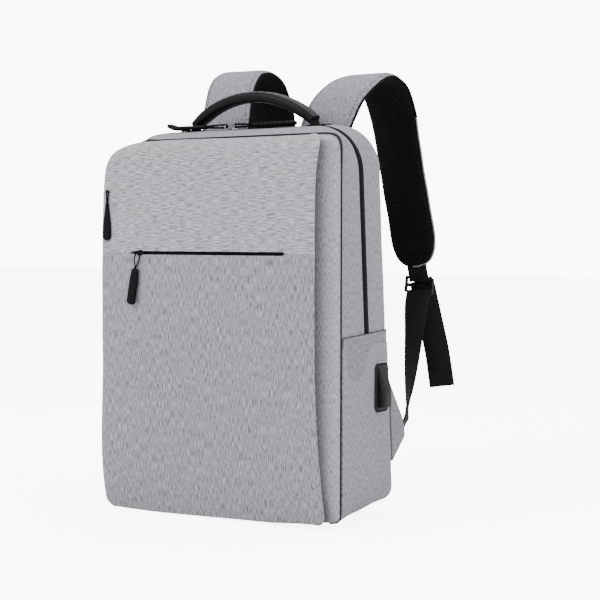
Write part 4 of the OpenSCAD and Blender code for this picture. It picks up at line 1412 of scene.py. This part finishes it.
# ---------------------------------------------------------------- lining pieces
def pocket_divider():
    z = np.linspace(6.4, SEAM_Z - 8.4, 60)[:, None]
    half = half_width(z, HALF_W - 10.2, 6, SEAM_Z - 8, R_SEAM - 8, 16)
    grid = ripple(xyz(ACROSS * half, SEAM_Y - 0.3, z), 131, 0.35, 0.15, fade=4)
    shell("pocket_divider_cloth", grid, 0.9, LINING, flip=True, body=flap_fold,
          node="pocket_divider")


def laptop_sleeve():
    grid = lean(np.linspace(-145.5, 115.5, 61)[None], -37.6, np.linspace(7, 299, 60)[:, None])
    grid = ripple(grid, 141, 0.7, 0.3, fade=4, flip=True)
    shell("laptop_sleeve_cloth", grid, 4.2, LINING, body="root", node="laptop_sleeve")
    tube("sleeve_binding", grid[-1] + np.array([0, 2.0, 0.4]), 2.3, BINDING, body="root")


def bank_pocket():
    across, deep = rounded(21.4, 75.4, 5, 5).T
    grid = xyz(HALF_W - 30.7 + 11 + across, 18 + deep, np.linspace(6.6, 87.6, 26)[:, None])
    shell("bank_pocket_cloth", grid, 1.3, LINING, closed=True, flip=True, body="root",
          node="bank_pocket")
    tube("bank_pocket_binding", grid[-1], 1.0, BINDING, sides=8, closed=True, body="root")


pocket_divider()
laptop_sleeve()
bank_pocket()

# ---------------------------------------------------------------- CAD pieces kept, finish only
for node, mat in (("base_board", BOARD), ("front_foam_upper", FOAM), ("front_foam_lower", FOAM),
                  ("usb_socket", METAL), ("usb_cable", CABLE), ("usb_plug", PLASTIC),
                  ("power_bank_case", PLASTIC), ("power_bank_cells", CELL),
                  ("power_bank_button", BUTTON)):
    materials = NODES[node].data.materials
    materials.clear()
    materials.append(mat)

# start of a material's name -> the frame's material slot
SLOTS = {"cloth": "grey_fabric", "lining_cloth": "lining_fabric", "air_mesh": "air_mesh",
         "webbing": "webbing", "zip_tape": "zip_tape", "zip_coil": "zip_coil",
         "slider_metal": "slider_metal", "rubber": "black_rubber", "plastic": "black_plastic",
         "port_plastic": "black_plastic", "foam": "foam", "pale_piping": "grey_fabric",
         "binding_tape": "zip_tape", "pull_cord": "webbing", "sewing_thread": "grey_fabric",
         "dark_thread": "webbing"}
for ob in list(bpy.data.objects):
    if ob.type == "MESH" and ob.name not in NODES and ob.data.materials:
        for start, slot in SLOTS.items():
            if ob.data.materials[0].name.startswith(start):
                break

# ---------------------------------------------------------------- floor, light, camera (metres)
paper = new_shader("floor_paper")
mottle = paper.noise(paper.coord("Object", 3), detail=3, rough=0.5)
colour = paper.ramp(mottle, [(0.3, (0.93, 0.93, 0.935)), (0.7, (0.96, 0.96, 0.96))])
seen = paper.node("LightPath", {}, "Is Camera Ray")
# glows only to the camera, so it reads as white without lighting the bag
paper.finish(Base_Color=colour, Roughness=0.8, Specular_IOR_Level=0.02,
             Emission_Color=(1, 1, 1, 1), Emission_Strength=paper.math("MULTIPLY", seen, 6.5))
mesh = bpy.data.meshes.new("floor")
mesh.from_pydata([(-9, -9, -0.012), (9, -9, -0.012), (9, 9, -0.012), (-9, 9, -0.012)], [],
                 [(0, 1, 2, 3)])
mesh.materials.append(paper.owner)
link("floor", mesh)

studio = Shader(bpy.data.worlds.new("studio"), "Background")
seen = studio.node("LightPath", {}, "Is Camera Ray")
bpy.context.scene.world = studio.finish(Color=(1, 1, 1, 1),
                                        Strength=studio.linear(seen, gain=8.0, base=2.0))

# name, place, target, disk size, watts
for name, place, target, size, power in (
        ("key", (-0.9, -2.2, 1.7), (0, 0, 0.25), 1.3, 95),
        ("fill", (2.4, -0.3, 1.0), (0, 0.05, 0.25), 1.3, 34),
        ("top", (0.2, 0.5, 2.4), (0, 0, 0.2), 1.6, 46)):
    light = bpy.data.lights.new(name, "AREA")
    light.shape = "DISK"
    light.size = size
    light.energy = power
    lamp = link(name, light)
    lamp.location = place
    lamp.rotation_euler = (Vector(target) - Vector(place)).to_track_quat("-Z", "Y").to_euler()

lens_data = bpy.data.cameras.new("photo_camera")
lens_data.sensor_width = 36
lens_data.lens = 92.6
lens_data.shift_x = 0.0917
camera = link("photo_camera", lens_data)
camera.location = (1.0453, -1.4494, 0.310)
camera.rotation_euler = (radians(87.5), 0, radians(35.8))
bpy.context.scene.camera = camera
